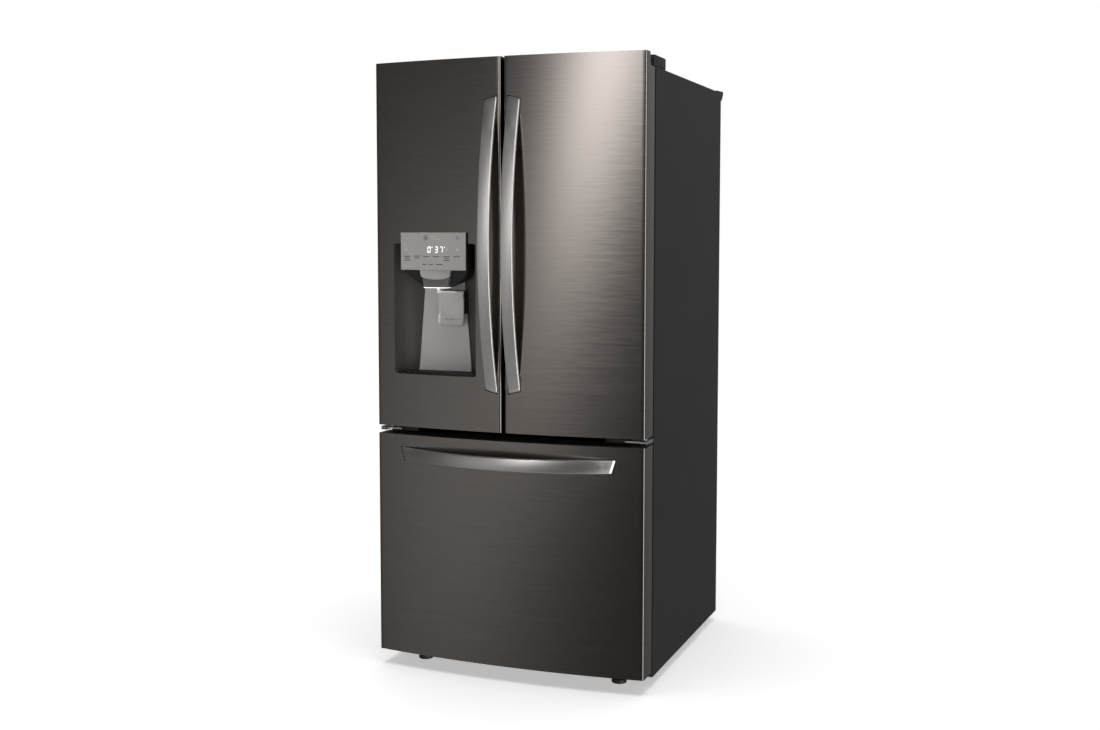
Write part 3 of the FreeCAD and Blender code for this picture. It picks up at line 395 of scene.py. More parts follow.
# ---------------- liners ----------------
# Each compartment is a thin vacuum-formed liner of white sheet plastic with a soft sheen, which snaps over
# the case's front flange.


def liner_sheet():
    white = Finish("liner_white", (0.80, 0.81, 0.82), 0.35)
    cloud = white.noise(14, 3)
    orange_peel = white.noise(500, 2)
    white.set("Base Color", white.between(cloud, (0.76, 0.77, 0.78), (0.84, 0.85, 0.86)))
    white.set("Roughness", 0.28 + cloud * 0.14)
    white.bumps(orange_peel, 0.12, 0.0002)
    return white


white = liner_sheet()
paint_node(white, "fridge_liner", "freezer_liner", "air_ducts", "mullion_guide", "left_door_liner",
           "right_door_liner", "freezer_door_liner")
crossbar = bmesh.new()
block(crossbar, -flange_half, flange_half, 0, 2, freezer_high, fridge_low, 0.5)
fit("divider_cover", crossbar, paint, "cabinet", "case_paint")

# ---------------- cooling ----------------
# A welded compressor pot on rubber grommets, finned aluminium coils, two small fans and copper lines. They
# sit in the machine bay and behind the freezer's back panel.


def pot_enamel():
    enamel = Finish("compressor_black", (0.01, 0.01, 0.01), 0.35, Coat_Weight=0.3)
    wave = enamel.noise(60, 3)
    enamel.set("Base Color", enamel.between(wave, (0.008, 0.008, 0.008), (0.02, 0.02, 0.02)))
    enamel.set("Roughness", 0.28 + wave * 0.2)
    return enamel


def coil_aluminium():
    fins = Finish("coil_aluminium", (0.6, 0.61, 0.62), 0.4, Metallic=1.0)
    oxide = fins.noise(40, 3)
    fins.set("Base Color", fins.between(oxide, (0.48, 0.49, 0.50), (0.70, 0.71, 0.72)))
    fins.set("Roughness", 0.34 + oxide * 0.2)
    return fins


def lathe(bm, profile, x, y, steps=48):
    """Adds a turned shape about an upright axis; profile is pairs of radius and height."""
    rings = []
    for i in range(steps):
        turn = 2 * math.pi * i / steps
        rings.append([bm.verts.new(put(x + r * math.cos(turn), y + r * math.sin(turn), z))
                      for r, z in profile])
    quads(bm, rings, ring=False, closed=True)
    bm.faces.new([ring[0] for ring in rings][::-1])
    bm.faces.new([ring[-1] for ring in rings])


pot_black = pot_enamel()
fin_metal = coil_aluminium()
paint_node(fin_metal, "condenser", "evaporator")
paint_node(black, "condenser_fan", "evaporator_fan")
bay_y = 633.0
pot = bmesh.new()
dome = [(52, 47), (64, 52), (70, 62), (72, 78), (72, 128), (72.6, 130), (75, 131), (75, 135), (72.6, 136),
        (72, 140), (69, 168), (60, 186), (44, 197), (24, 202)]
lathe(pot, dome, 250, bay_y)
block(pot, 155, 345, bay_y - 70, bay_y + 70, 44, 49, 2)
block(pot, 150, 184, bay_y - 26, bay_y + 26, 84, 140, 4)
for x in (170, 330):
    for y in (bay_y - 55, bay_y + 55):
        lathe(pot, [(9, 32), (11, 34), (11, 37), (8, 38.5), (11, 40), (11, 43), (8, 44)], x, y, 24)
fit("compressor_pot", pot, pot_black, "cabinet", "compressor_black", "compressor", sharp=45)


def pipe(name, points, radius, finish, body):
    """A bent tube along a smooth line."""
    curve = bpy.data.curves.new(name, "CURVE")
    curve.dimensions = "3D"
    curve.bevel_depth = radius / 1000
    curve.bevel_resolution = 4
    curve.use_fill_caps = True
    line = curve.splines.new("NURBS")
    line.points.add(len(points) - 1)
    for point, (x, y, z) in zip(line.points, points):
        point.co = (*put(x, y, z), 1)
    line.order_u = 3
    line.use_endpoint_u = True
    curve.materials.append(finish.material)
    tube = bpy.data.objects.new(name, curve)
    bpy.context.scene.collection.objects.link(tube)
    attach(tube, body)


def copper_tube():
    copper = Finish("copper", (0.72, 0.36, 0.2), 0.3, Metallic=1.0)
    tarnish = copper.noise(50, 4)
    copper.set("Base Color", copper.between(tarnish, (0.45, 0.20, 0.11), (0.80, 0.44, 0.27)))
    copper.set("Roughness", 0.22 + tarnish * 0.3)
    return copper


copper = copper_tube()
pipe("suction_line", [(250, 590, 190), (250, 570, 215), (250, 560, 232), (120, 556, 236), (0, 552, 236),
                      (-10, 552, 236)], 4, copper, "cabinet")
pipe("discharge_line", [(190, 680, 140), (150, 690, 150), (110, 694, 120), (60, 690, 70), (-60, 690, 50),
                        (-110, 690, 46)], 3, copper, "cabinet")
inlet_plastic = Finish("valve_plastic", (0.75, 0.76, 0.78), 0.4)
cloud = inlet_plastic.noise(40, 2)
inlet_plastic.set("Base Color", inlet_plastic.between(cloud, (0.68, 0.69, 0.72), (0.80, 0.81, 0.83)))
paint_node(inlet_plastic, "water_inlet")

# ---------------- fridge interior ----------------
# Tempered glass shelves in moulded frames hook into slotted steel tracks. Two clear produce drawers slide
# under a glass cover, lamps light the ceiling, and a water filter stands in the upper corner.


def clear_plastic():
    clear = Finish("clear_plastic", (0.86, 0.9, 0.92), 0.12, Alpha=0.32, IOR=1.49)
    haze = clear.noise(8, 2)
    clear.set("Base Color", clear.between(haze, (0.80, 0.85, 0.88), (0.90, 0.93, 0.95)))
    clear.set("Roughness", 0.08 + haze * 0.1)
    return clear


def shelf_pane():
    glass = Finish("shelf_glass", (0.62, 0.78, 0.74), 0.05, Alpha=0.28, IOR=1.5)
    edge = glass.node("Fresnel", {}, {"IOR": 1.5})
    smear = glass.noise(12, 3)
    glass.set("Base Color", glass.between(smear, (0.58, 0.75, 0.70), (0.68, 0.82, 0.79)))
    glass.set("Alpha", 0.22 + edge * 0.6)
    return glass


clear = clear_plastic()
pane = shelf_pane()
paint_node(pane, "shelf_glass")
paint_node(white, "shelf_frames", "ice_room", "ice_room_cover")


def bin_shell(bm, x0, x1, y0, y1, z0, z1, wall=3.0, radius=14.0, taper=3.0):
    """Adds an open moulded bin: round corners, a rolled rim, and sides that draw in a little to the floor."""
    levels = [(z0, taper + 4), (z0 + 1.5, taper + 1.2), (z0 + 5, taper), (z1 - 8, 1.4), (z1 - 7, 0),
              (z1 - 1, 0), (z1, 1), (z1, wall), (z1 - 1, wall + 0.6), (z0 + wall + 4, wall + taper),
              (z0 + wall, wall + taper + 4)]
    loops = []
    for z, inset in levels:
        corner = max(2.0, radius - inset * 0.6)
        line = round_rect(x0 + inset, x1 - inset, y0 + inset, y1 - inset, corner, 5)
        loops.append([bm.verts.new(put(x, y, z)) for x, y in line])
    quads(bm, loops)
    bm.faces.new(loops[0][::-1])
    bm.faces.new(loops[-1])


for name in ("left", "right"):
    low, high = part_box("crisper_" + name)
    drawer = bmesh.new()
    y0 = (low.y - case_front) * 1000 + 12
    y1 = (high.y - case_front) * 1000
    x0, x1 = low.x * 1000, high.x * 1000
    z0, z1 = low.z * 1000, high.z * 1000
    bin_shell(drawer, x0, x1, y0, y1, z0, z1, 3, 16, 5)
    fit("crisper_" + name + "_bin", drawer, clear, name + "_crisper", "clear_plastic", "crisper_" + name)
    grip = bmesh.new()
    lip = [(y0 + 0.5, z1 - 20), (y0 - 6, z1 - 26), (y0 - 11, z1 - 34), (y0 - 11.6, z1 - 46),
           (y0 - 8.5, z1 - 46), (y0 - 8, z1 - 36), (y0 - 4, z1 - 30), (y0 + 0.5, z1 - 26)]
    prism(grip, lip, "x", x0 + 60, x1 - 60)
    bmesh.ops.bevel(grip, geom=list(grip.edges), offset=0.0006, segments=2, affect="EDGES")
    fit("crisper_" + name + "_grip", grip, white, name + "_crisper", "liner_white")
    slider = bmesh.new()
    block(slider, x0 + 110, x0 + 150, y0 - 1.4, y0 + 0.6, z1 - 66, z1 - 56, 0.6)
    fit("crisper_" + name + "_vent", slider, white_plastic, name + "_crisper", "bin_plastic")


def lit(name, colour, strength):
    glow = Finish(name, colour, 0.4, Emission_Strength=strength)
    cell = glow.noise(400, 1)
    glow.set("Emission Color", glow.between(cell, tuple(c * 0.9 for c in colour), colour))
    return glow


lamp_glow = lit("lamp_glow", (1.0, 0.98, 0.94), 0.7)
lamp = bmesh.new()
block(lamp, -110, 110, 250, 320, 1688, 1695, 3, 3)
fit("ceiling_lamp", lamp, lamp_glow, "cabinet", "liner_white")
lamp = bmesh.new()
block(lamp, -90, 90, 90, 130, 661, 667, 2.5, 3)
fit("freezer_lamp", lamp, lamp_glow, "cabinet", "liner_white")
water_filter = bmesh.new()
filter_x, filter_y = 322.0, 600.0
filter_profile = [(20, 1470), (27, 1474), (29, 1482), (29, 1600), (31, 1603), (31, 1640), (29, 1644),
                  (20, 1660)]
lathe(water_filter, filter_profile, filter_x, filter_y)
for k in range(12):
    turn = math.radians(30 * k)
    x, y = filter_x + 30.6 * math.cos(turn), filter_y + 30.6 * math.sin(turn)
    block(water_filter, x - 1.4, x + 1.4, y - 1.4, y + 1.4, 1606, 1637, 0.6)
block(water_filter, filter_x - 20, 364, filter_y - 16, filter_y + 16, 1655, 1694, 3)
fit("water_filter", water_filter, white, "cabinet", "liner_white", sharp=45)
tower_trim = bmesh.new()
prism(tower_trim, round_rect(-60, 60, 1000, 1010, 4), "y", 643.5, 645.5)
for row in range(5):
    z = 1062 + row * 130
    for k in range(5):
        x = -52 + 24 * k
        prism(tower_trim, round_rect(x, x + 3, z, z + 10, 1), "y", 644.5, 648.5)
fit("air_tower_grilles", tower_trim, white_plastic, "cabinet", "bin_plastic")
track_slots = bmesh.new()
for x in (-343, -105, 105, 343):
    for k in range(17):
        z = 985 + 36 * k
        prism(track_slots, round_rect(x - 2, x + 2, z, z + 14, 1.6), "y", 659.2, 660.6)
fit("shelf_track_slots", track_slots, black, "cabinet", "dark_plastic")
shelf_trim = bmesh.new()
for z in (1180, 1420):
    for side in (-1, 1):
        x0, x1 = sorted((side * 7, side * 361))
        block(shelf_trim, x0, x1, 158.6, 161, z + 0.6, z + 12.6, 0.9)
block(shelf_trim, -363, 363, 158.6, 161, 945.6, 957.6, 0.9)
fit("shelf_front_trims", shelf_trim, hinge_finish, "cabinet", "hinge_steel")

# ---------------- doors: skins ----------------
# Each door and the drawer front is a tray folded from black stainless steel, brushed from side to side. One
# shallow arc crosses all three, and the vertical edges turn back in a tight radius.

door_low, door_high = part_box("right_door_skin")
drawer_low, drawer_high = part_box("freezer_door_skin")
door_bottom = door_low.z * 1000
door_top = door_high.z * 1000
drawer_bottom = drawer_low.z * 1000
drawer_top = drawer_high.z * 1000
edge_face = 84.0
crown = 28.0
crown_radius = (half ** 2 + crown ** 2) / (2 * crown)
crown_centre = crown_radius - edge_face - crown
skin_rear = -12.0
skin = 0.8
corner_radius = 6.0


def brushed(name, low, high, grain, roughness, anisotropic, turn, streak):
    """Brushed and tinted steel; grain stretches the noise so that it draws out along the brushing."""
    steel = Finish(name, high, roughness, Metallic=1.0, Anisotropic=anisotropic, Anisotropic_Rotation=turn)
    fine = steel.noise(1, 2, steel.stretched(*grain), 0.6)
    broad = steel.noise(1, 2, steel.stretched(*[g * 0.3 for g in grain]), 0.5)
    both = fine * 0.6 + broad * 0.4
    line = (both - 0.5) * streak + 0.5
    steel.set("Base Color", steel.between(line, low, high))
    steel.set("Roughness", roughness - 0.05 + both * 0.1)
    steel.bumps(both, 0.16, 0.0003)
    return steel


def front_at(x, inset=0.0):
    """How far forward the crowned front stands at x, or a surface set in behind it."""
    return crown_centre - math.sqrt((crown_radius - inset) ** 2 - x ** 2)


def front_corner(x, inward, inset, radius, steps=6):
    """The turned edge between a door's side and its front, from the side round to the front."""
    cx = x + inward * radius
    cy = front_at(cx, inset + radius)
    lean = math.atan2(cx, crown_centre - cy)
    turns = [-inward * (math.pi / 2) * (1 - i / steps) + lean * i / steps for i in range(steps + 1)]
    return [(cx + radius * math.sin(a), cy - radius * math.cos(a)) for a in turns]


def front_line(x0, x1, rear, inset=0.0, radius=corner_radius, step=9.0):
    """Plan of a crowned front: from its left rear, round both corners, to its right rear."""
    left = front_corner(x0, 1, inset, radius)
    right = front_corner(x1, -1, inset, radius)
    count = max(2, int((right[-1][0] - left[-1][0]) / step))
    across = [left[-1][0] + (right[-1][0] - left[-1][0]) * i / count for i in range(1, count)]
    return [(x0, rear)] + left + [(x, front_at(x, inset)) for x in across] + right[::-1] + [(x1, rear)]


def folded_front(x0, x1, z0, z1):
    """The folded sheet of a front: its face, both turned edges and the sides behind them."""
    bm = bmesh.new()
    inside = front_line(x0 + skin, x1 - skin, skin_rear, skin, corner_radius - skin)
    prism(bm, front_line(x0, x1, skin_rear) + inside[::-1], "z", z0, z1)
    return bm


black_steel = brushed("black_stainless", (0.20, 0.179, 0.164), (0.31, 0.283, 0.264), (17, 17, 420), 0.18,
                      0.45, 0.25, 1.15)
split = 5.0
notch = (297.0, -53.0, 1752.0)
handle_x = 35.5
handle_wide = 37.0
handle_low = 838.0
handle_high = 1680.0
handle_slant = 11.0
handle_gap = 1.5
recess = (-355.0, -84.0, 883.0, 1265.0)


def slanted_end(end, side):
    """Outline of a handle's socket in a door, which reaches 54 mm along the handle from its end."""
    x0 = handle_x - handle_wide / 2 - handle_gap
    x1 = handle_x + handle_wide / 2 + handle_gap
    run = 1 if end == "low" else -1
    base = handle_low if end == "low" else handle_high
    inner = base + run * 54
    tip = [(x0, base - run * handle_gap), (x1, base + run * (handle_slant - handle_gap)), (x1, inner),
           (x0, inner)]
    return [(side * x, z) for x, z in tip]


def door_sockets(side):
    """The two holes that a door's handle sinks into."""
    bm = bmesh.new()
    face = front_at(handle_x)
    for end in ("low", "high"):
        prism(bm, slanted_end(end, side), "y", face - 20, face + 6)
    return bm


for side, body in ((-1, "left_door"), (1, "right_door")):
    x0, x1 = sorted((side * split, side * half))
    shell = folded_front(x0, x1, door_bottom, door_top)
    tool = bmesh.new()
    block(tool, *sorted((side * notch[0], side * (half + 9))), notch[1], 5, notch[2], door_top + 9)
    shell = carve(shell, tool)
    shell = carve(shell, door_sockets(side))
    if side < 0:
        tool = bmesh.new()
        prism(tool, round_rect(*recess, 8), "y", -140, -60)
        shell = carve(shell, tool)
    fit(body + "_front", shell, black_steel, body, "black_stainless", body + "_skin", sharp=20)

# ---------------- doors: caps and gaskets ----------------
# Moulded caps close each tray at its top and bottom, and a magnetic gasket of black soft vinyl, with a
# bellows lip, is pushed into a groove round the door's liner.


def cap_plastic():
    grey = Finish("door_cap_grey", (0.045, 0.043, 0.042), 0.45)
    grain = grey.noise(900, 2)
    grey.set("Base Color", grey.between(grain, (0.038, 0.036, 0.035), (0.055, 0.052, 0.050)))
    grey.set("Roughness", 0.4 + grain * 0.15)
    grey.bumps(grain, 0.3, 0.0003)
    return grey


def soft_vinyl():
    vinyl = Finish("gasket_rubber", (0.02, 0.02, 0.02), 0.6)
    bloom = vinyl.noise(60, 3)
    vinyl.set("Base Color", vinyl.between(bloom, (0.014, 0.014, 0.014), (0.032, 0.031, 0.030)))
    vinyl.set("Roughness", 0.5 + bloom * 0.2)
    return vinyl


cap_grey = cap_plastic()
vinyl = soft_vinyl()
paint_node(cap_grey, "left_door_caps", "right_door_caps", "freezer_door_caps", "mullion")


def bellows(node, name, body):
    """A gasket's hollow section, swept round the four sides of the CAD gasket with mitred corners."""
    low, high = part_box(node)
    x0, x1 = low.x * 1000, high.x * 1000
    z0, z1 = low.z * 1000, high.z * 1000
    y0, y1 = (low.y - case_front) * 1000, (high.y - case_front) * 1000
    deep = y1 - y0
    section = [(5.5, 0), (12.5, 0), (12.5, 0.3), (10.8, 0.42), (13.6, 0.55), (17.4, 0.62), (18, 0.75),
               (17.6, 1.0), (0.4, 1.0), (0, 0.75), (0.6, 0.62), (4.4, 0.55), (7.2, 0.42), (5.5, 0.3)]
    bm = bmesh.new()
    rings = []
    for sx, sz in ((-1, -1), (1, -1), (1, 1), (-1, 1)):
        x = x0 if sx < 0 else x1
        z = z0 if sz < 0 else z1
        rings.append([bm.verts.new(put(x - sx * u, y0 + deep * v, z - sz * u)) for u, v in section])
    quads(bm, rings, closed=True)
    fit(name, bm, vinyl, body, "gasket_rubber", node)


bellows("left_door_gasket", "left_gasket", "left_door")
bellows("right_door_gasket", "right_gasket", "right_door")
bellows("freezer_door_gasket", "drawer_gasket", "freezer_drawer")

# ---------------- door bins ----------------
# Open bins of clear moulded plastic hang one above another on each door's liner. A bright steel strip runs
# along the front of each.

for side, body in ((-1, "left_door"), (1, "right_door")):
    bins = bmesh.new()
    rails = bmesh.new()
    x0, x1 = sorted((side * 76.2, side * 327.8))
    for row in range(2 if side < 0 else 4):
        z0 = 805 + 222 * row
        bin_shell(bins, x0, x1, -11.5, 110, z0, z0 + 95, 3, 12, 2)
        block(rails, x0 + 14, x1 - 14, 109.2, 111.4, z0 + 74, z0 + 88, 1)
    fit(body + "_shelf_bins", bins, clear, body, "clear_plastic", body + "_bins")
    fit(body + "_bin_rails", rails, hinge_finish, body, "hinge_steel")

# ---------------- hinges and rear spacer ----------------
# Steel hinge plates carry the doors on pins at their top and bottom. Moulded covers hide the upper plates,
# and a moulded spacer behind the case's top keeps it off the wall.

paint_node(hinge_finish, "door_hinges")
hinge_x = half - 18.0
for side, name in ((-1, "left"), (1, "right")):
    cover = bmesh.new()
    x0, x1 = sorted((side * (hinge_x - 58), side * (hinge_x + 15)))
    block(cover, x0, x1, 3, 107, case_top, 1789, 5, 4)
    hollow = bmesh.new()
    block(hollow, x0 + 2.5, x1 - 2.5, 5.5, 104.5, case_top - 5, 1786.5, 3, 3)
    cover = carve(cover, hollow)
    slot = bmesh.new()
    x0, x1 = sorted((side * (hinge_x - 18), side * (hinge_x + 9)))
    block(slot, x0, x1, -5, 9, case_top - 4, case_top + 6)
    cover = carve(cover, slot)
    fit(name + "_hinge_cover", cover, black, "cabinet", "dark_plastic")
    stop = bmesh.new()
    x0, x1 = sorted((side * 293, side * 350))
    block(stop, x0, x1, -62, 0, 708.5, 721.5, 1.5)
    fit(name + "_hinge_stop", stop, black, "cabinet", "dark_plastic")
    bracket = bmesh.new()
    x0, x1 = sorted((side * (hinge_x + 1), side * (half - 1)))
    prism(bracket, round_rect(-70, -2, 709, 720, 5), "x", x0, x1)
    screw(bracket, side * (hinge_x - 30), -20, 718.5, (0, 0, 1))
    screw(bracket, side * (hinge_x - 30), -45, 718.5, (0, 0, 1))
    fit(name + "_hinge_bracket", bracket, hinge_finish, "cabinet", "hinge_steel")
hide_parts("hinge_covers")

spacer = bmesh.new()
spacer_line = [(690, case_top), (690, case_top + 3), (case_depth + 30, case_top + 6),
               (case_depth + 36, case_top + 5), (case_depth + 38, case_top + 2),
               (case_depth + 38, case_top - 2), (case_depth + 19, case_top - 24),
               (case_depth + 16, case_top - 25), (case_depth + 0.5, case_top - 25),
               (case_depth + 0.5, case_top)]
prism(spacer, spacer_line, "x", -half + 2, half - 2)
fit("rear_spacer", spacer, black, "cabinet", "dark_plastic", "rear_top_spacer")

# ---------------- handles ----------------
# The handles are bowed bars of solid stainless steel, brushed along their length. Their slanted ends sink
# into dark sockets in the doors and are held by studs from behind.


def handle_bar(name, body, node, finish, place, low, high, face, rise, across, slant):
    """A bowed bar whose section has soft edges; place turns (along, out, across) into a point."""
    bm = bmesh.new()
    reach = (high - low) / 2
    middle = (high + low) / 2
    radius = (reach ** 2 + rise ** 2) / (2 * rise)
    centre = face - rise + radius
    thick = 12.0
    a0, a1 = across
    wide = a1 - a0
    loops = []
    fractions = [-1 + 2 * i / 72 for i in range(73)]
    ends = [(-1, 2.4), (-1 + 0.8 / reach, 1.1), (-1 + 2.4 / reach, 0.2)]
    stations = ends + [(t, 0.0) for t in fractions[1:-1]] + [(-t, inset) for t, inset in ends[::-1]]
    for t, inset in stations:
        outline = round_rect(inset, wide - inset, inset, thick - inset, 3.6, 4)
        loop = []
        for u, v in outline:
            length = reach - slant * u / wide
            s = middle + t * length
            bow = radius - v
            out = centre - math.sqrt(bow ** 2 - (s - middle) ** 2)
            loop.append(bm.verts.new(put(*place(s, out, a0 + u))))
        loops.append(loop)
    quads(bm, loops)
    bm.faces.new(loops[0])
    bm.faces.new(loops[-1][::-1])
    fit(name, bm, finish, body, "handle_steel", node, sharp=50)


def drawn_in(line, wide, tall):
    """An outline shrunk about its middle."""
    cx = sum(x for x, z in line) / len(line)
    cz = sum(z for x, z in line) / len(line)
    return [(cx + (x - cx) * wide, cz + (z - cz) * tall) for x, z in line]


handle_steel = brushed("handle_steel", (0.74, 0.715, 0.69), (0.90, 0.87, 0.845), (700, 700, 8), 0.38, 0.3,
                       0.0, 1.2)
edge = handle_x - handle_wide / 2
face = front_at(handle_x)
for side, name, body in ((-1, "left", "left_door"), (1, "right", "right_door")):

    def upright(s, out, u, side=side):
        return side * u, out, s

    handle_bar(name + "_pull", body, name + "_handle", handle_steel, upright, handle_low, handle_high,
               face, 60.0, (edge, edge + handle_wide), handle_slant)
    cups = bmesh.new()
    hollow = bmesh.new()
    for end in ("low", "high"):
        line = slanted_end(end, side)
        prism(cups, line, "y", face + 1.2, face + 17.5)
        prism(hollow, drawn_in(line, 0.96, 0.975), "y", face - 5, face + 16)
    fit(name + "_handle_cups", carve(cups, hollow), black, body, "dark_plastic")

# ---------------- dispenser ----------------
# The ice and water dispenser is a moulded tub let into the left door: dark side walls curve in to a paler
# back, a funnel hangs under the control panel, a paddle hangs in front of thin dark plates that are painted
# shadow on the back, and a drip tray lifts out.


def tub_plastic():
    tub = Finish("recess_grey", (0.06, 0.055, 0.05), 0.42, Specular_IOR_Level=0.2)
    grain = tub.noise(700, 2)
    tub.set("Base Color", tub.between(grain, (0.064, 0.059, 0.055), (0.086, 0.080, 0.075)))
    tub.set("Roughness", 0.36 + grain * 0.14)
    tub.bumps(grain, 0.15, 0.0003)
    return tub


def back_plastic():
    pale = Finish("recess_back_grey", (0.26, 0.25, 0.24), 0.4, Metallic=0.25)
    grain = pale.noise(1, 2, pale.stretched(700, 700, 9))
    pale.set("Base Color", pale.between(grain, (0.50, 0.485, 0.472), (0.60, 0.583, 0.567)))
    pale.set("Roughness", 0.34 + grain * 0.14)
    return pale


tub_finish = tub_plastic()
pale_finish = back_plastic()
recess_x0, recess_x1, recess_z0, recess_z1 = recess
recess_back = -24.0


def back_edge(z):
    """Half width of the pale back at a height: it widens towards the drip tray."""
    return 65 + (1129 - z) * 20 / 241


def recess_line(z, steps=10):
    """Plan of the tub at one height, from the left rim round the back to the right rim."""
    middle = (recess_x0 + recess_x1) / 2
    near = max(0.0, 8.0 - (z - recess_z0))
    tuck = 8.0 - math.sqrt(64.0 - near ** 2)
    inner = back_edge(min(z, 1150))
    line = []
    for side in (-1, 1):
        rim = middle + side * ((recess_x1 - recess_x0) / 2 - tuck)
        far = middle + side * inner
        front = front_at(rim) + 0.4
        rear = recess_back - 0.8
        wall = []
        for i in range(steps + 1):
            t = math.pi / 2 * i / steps
            bend = 0.55
            x = rim + (far - rim) * ((1 - math.cos(t)) * bend + (i / steps) * (1 - bend))
            y = front + (rear - front) * (math.sin(t) * bend + (i / steps) * (1 - bend))
            wall.append((x, y))
        line += wall if side < 0 else wall[::-1]
    return line


tub = bmesh.new()
heights = [recess_z0 + h for h in (0, 1, 2.5, 5)]
heights += [recess_z0 + 8 + (recess_z1 - recess_z0 - 8) * i / 16 for i in range(17)]
levels = [[tub.verts.new(put(x, y, z)) for x, y in recess_line(z)] for z in heights]
quads(tub, levels, ring=False)
tub.faces.new(levels[0])
tub.faces.new(levels[-1][::-1])
fit("dispenser_tub", tub, tub_finish, "left_door", "recess_grey", "dispenser_housing", sharp=40)


def thin_shell(bm, front_rows, rear_rows):
    """Adds a closed shell between a grid of front points and a grid of rear points."""
    rims = []
    for rows in (front_rows, rear_rows):
        grid = [[bm.verts.new(put(*point)) for point in row] for row in rows]
        quads(bm, grid, ring=False)
        right = [row[-1] for row in grid[1:-1]]
        left = [row[0] for row in grid[-2:0:-1]]
        rims.append(grid[0] + right + grid[-1][::-1] + left)
    quads(bm, rims)


back = bmesh.new()
rows = []
middle = (recess_x0 + recess_x1) / 2
for i in range(17):
    z = recess_z0 + 1 + (1175 - recess_z0 - 1) * i / 16
    foot = 7.0 * math.exp(-(z - recess_z0) / 9.0)
    wide = back_edge(min(z, 1150)) + 0.4
    row = []
    for j in range(21):
        t = -1 + 2 * j / 20
        y = recess_back - 2.2 - 3.0 * abs(t) ** 2.2 - foot
        row.append((middle + wide * t, y, z))
    rows.append(row)
thin_shell(back, rows, [[(x, y + 1.2, z) for x, y, z in row] for row in rows])
fit("dispenser_back", back, pale_finish, "left_door", "recess_grey")

panel_x0, panel_x1, panel_z0, panel_z1 = -326.0, -111.0, 1189.0, 1297.0
panel_proud = 9.0


def panel_plastic():
    satin = Finish("panel_glass", (0.33, 0.325, 0.315), 0.32)
    depth = satin.noise(9, 2)
    satin.set("Base Color", satin.between(depth, (0.37, 0.363, 0.353), (0.42, 0.413, 0.402)))
    satin.set("Roughness", 0.24 + depth * 0.1)
    return satin


def panel_slab(bm, x0, x1, z0, z1, back_inset, front_inset, soft):
    """A slab that follows the door's crown; the insets are counted in from the door's face."""
    across = [x0 + (x1 - x0) * i / 24 for i in range(25)]
    plan = [(x, front_at(x, front_inset)) for x in across]
    plan += [(x, front_at(x, back_inset)) for x in across[::-1]]
    prism(bm, plan, "z", z0, z1)
    limit = put(0, front_at(x0, front_inset), 0).y + 0.0008
    edges = [e for e in bm.edges if e.calc_face_angle(0) > 0.6 and all(v.co.y < limit for v in e.verts)]
    bmesh.ops.bevel(bm, geom=edges, offset=soft / 1000, segments=3, profile=0.5, affect="EDGES")


panel_finish = panel_plastic()
plate = bmesh.new()
panel_slab(plate, panel_x0, panel_x1, panel_z0, panel_z1, -panel_proud + 2.6, -panel_proud, 1.0)
fit("control_panel", plate, panel_finish, "left_door", "panel_glass", "dispenser_panel", sharp=60)
lower_housing = bmesh.new()
panel_slab(lower_housing, panel_x0 + 0.8, panel_x1 - 0.8, panel_z0 + 0.8, recess_z1 + 0.4, 34,
           -panel_proud + 2.5, 0.2)
fit("panel_lower_body", lower_housing, black, "left_door", "dark_plastic")
housing = bmesh.new()
panel_slab(housing, panel_x0 + 0.8, panel_x1 - 0.8, recess_z1 + 0.5, panel_z1 - 0.8, -0.1,
           -panel_proud + 2.5, 0.2)
fit("panel_body", housing, black, "left_door", "dark_plastic")


def printed(name, colour, low, high):
    """Ink on the panel, a little uneven in its depth."""
    ink = Finish(name, colour, 0.5)
    ink.set("Base Color", ink.between(ink.noise(500, 2), low, high))
    return ink


white_light = lit("display_light", (1.0, 1.0, 1.0), 1.6)
print_ink = printed("print_ink", (0.10, 0.10, 0.10), (0.085, 0.083, 0.08), (0.13, 0.128, 0.125))
pale_ink = printed("pale_ink", (0.6, 0.6, 0.6), (0.50, 0.50, 0.49), (0.62, 0.62, 0.61))
digits = bmesh.new()
ink = bmesh.new()
faint = bmesh.new()


def mark(bm, x, z, wide, tall, turn=0.0):
    """A printed dash or lit segment on the panel's face."""
    corners = []
    for u, v in ((-0.5, -0.5), (0.5, -0.5), (0.5, 0.5), (-0.5, 0.5)):
        px, pz = u * wide, v * tall
        qx = px * math.cos(turn) - pz * math.sin(turn)
        qz = px * math.sin(turn) + pz * math.cos(turn)
        corners.append((x + qx, z + qz))
    face = [bm.verts.new(put(a, front_at(a, -panel_proud) - 0.25, b)) for a, b in corners]
    rear = [bm.verts.new(put(a, front_at(a, -panel_proud) + 0.3, b)) for a, b in corners]
    bm.faces.new(face)
    bm.faces.new(rear[::-1])
    quads(bm, [face, rear])


def digit(x, z, lines):
    """A seven-segment figure; lines names its lit segments by the usual letters."""
    spots = {"a": (0, 8.0, 6.4, 1.5), "g": (0, 0, 6.4, 1.5), "d": (0, -8.0, 6.4, 1.5),
             "b": (3.95, 4.0, 1.5, 6.5), "c": (3.95, -4.0, 1.5, 6.5),
             "f": (-3.95, 4.0, 1.5, 6.5), "e": (-3.95, -4.0, 1.5, 6.5)}
    for line in lines:
        u, v, wide, tall = spots[line]
        mark(digits, x + u + 0.08 * v, z + v, wide, tall)


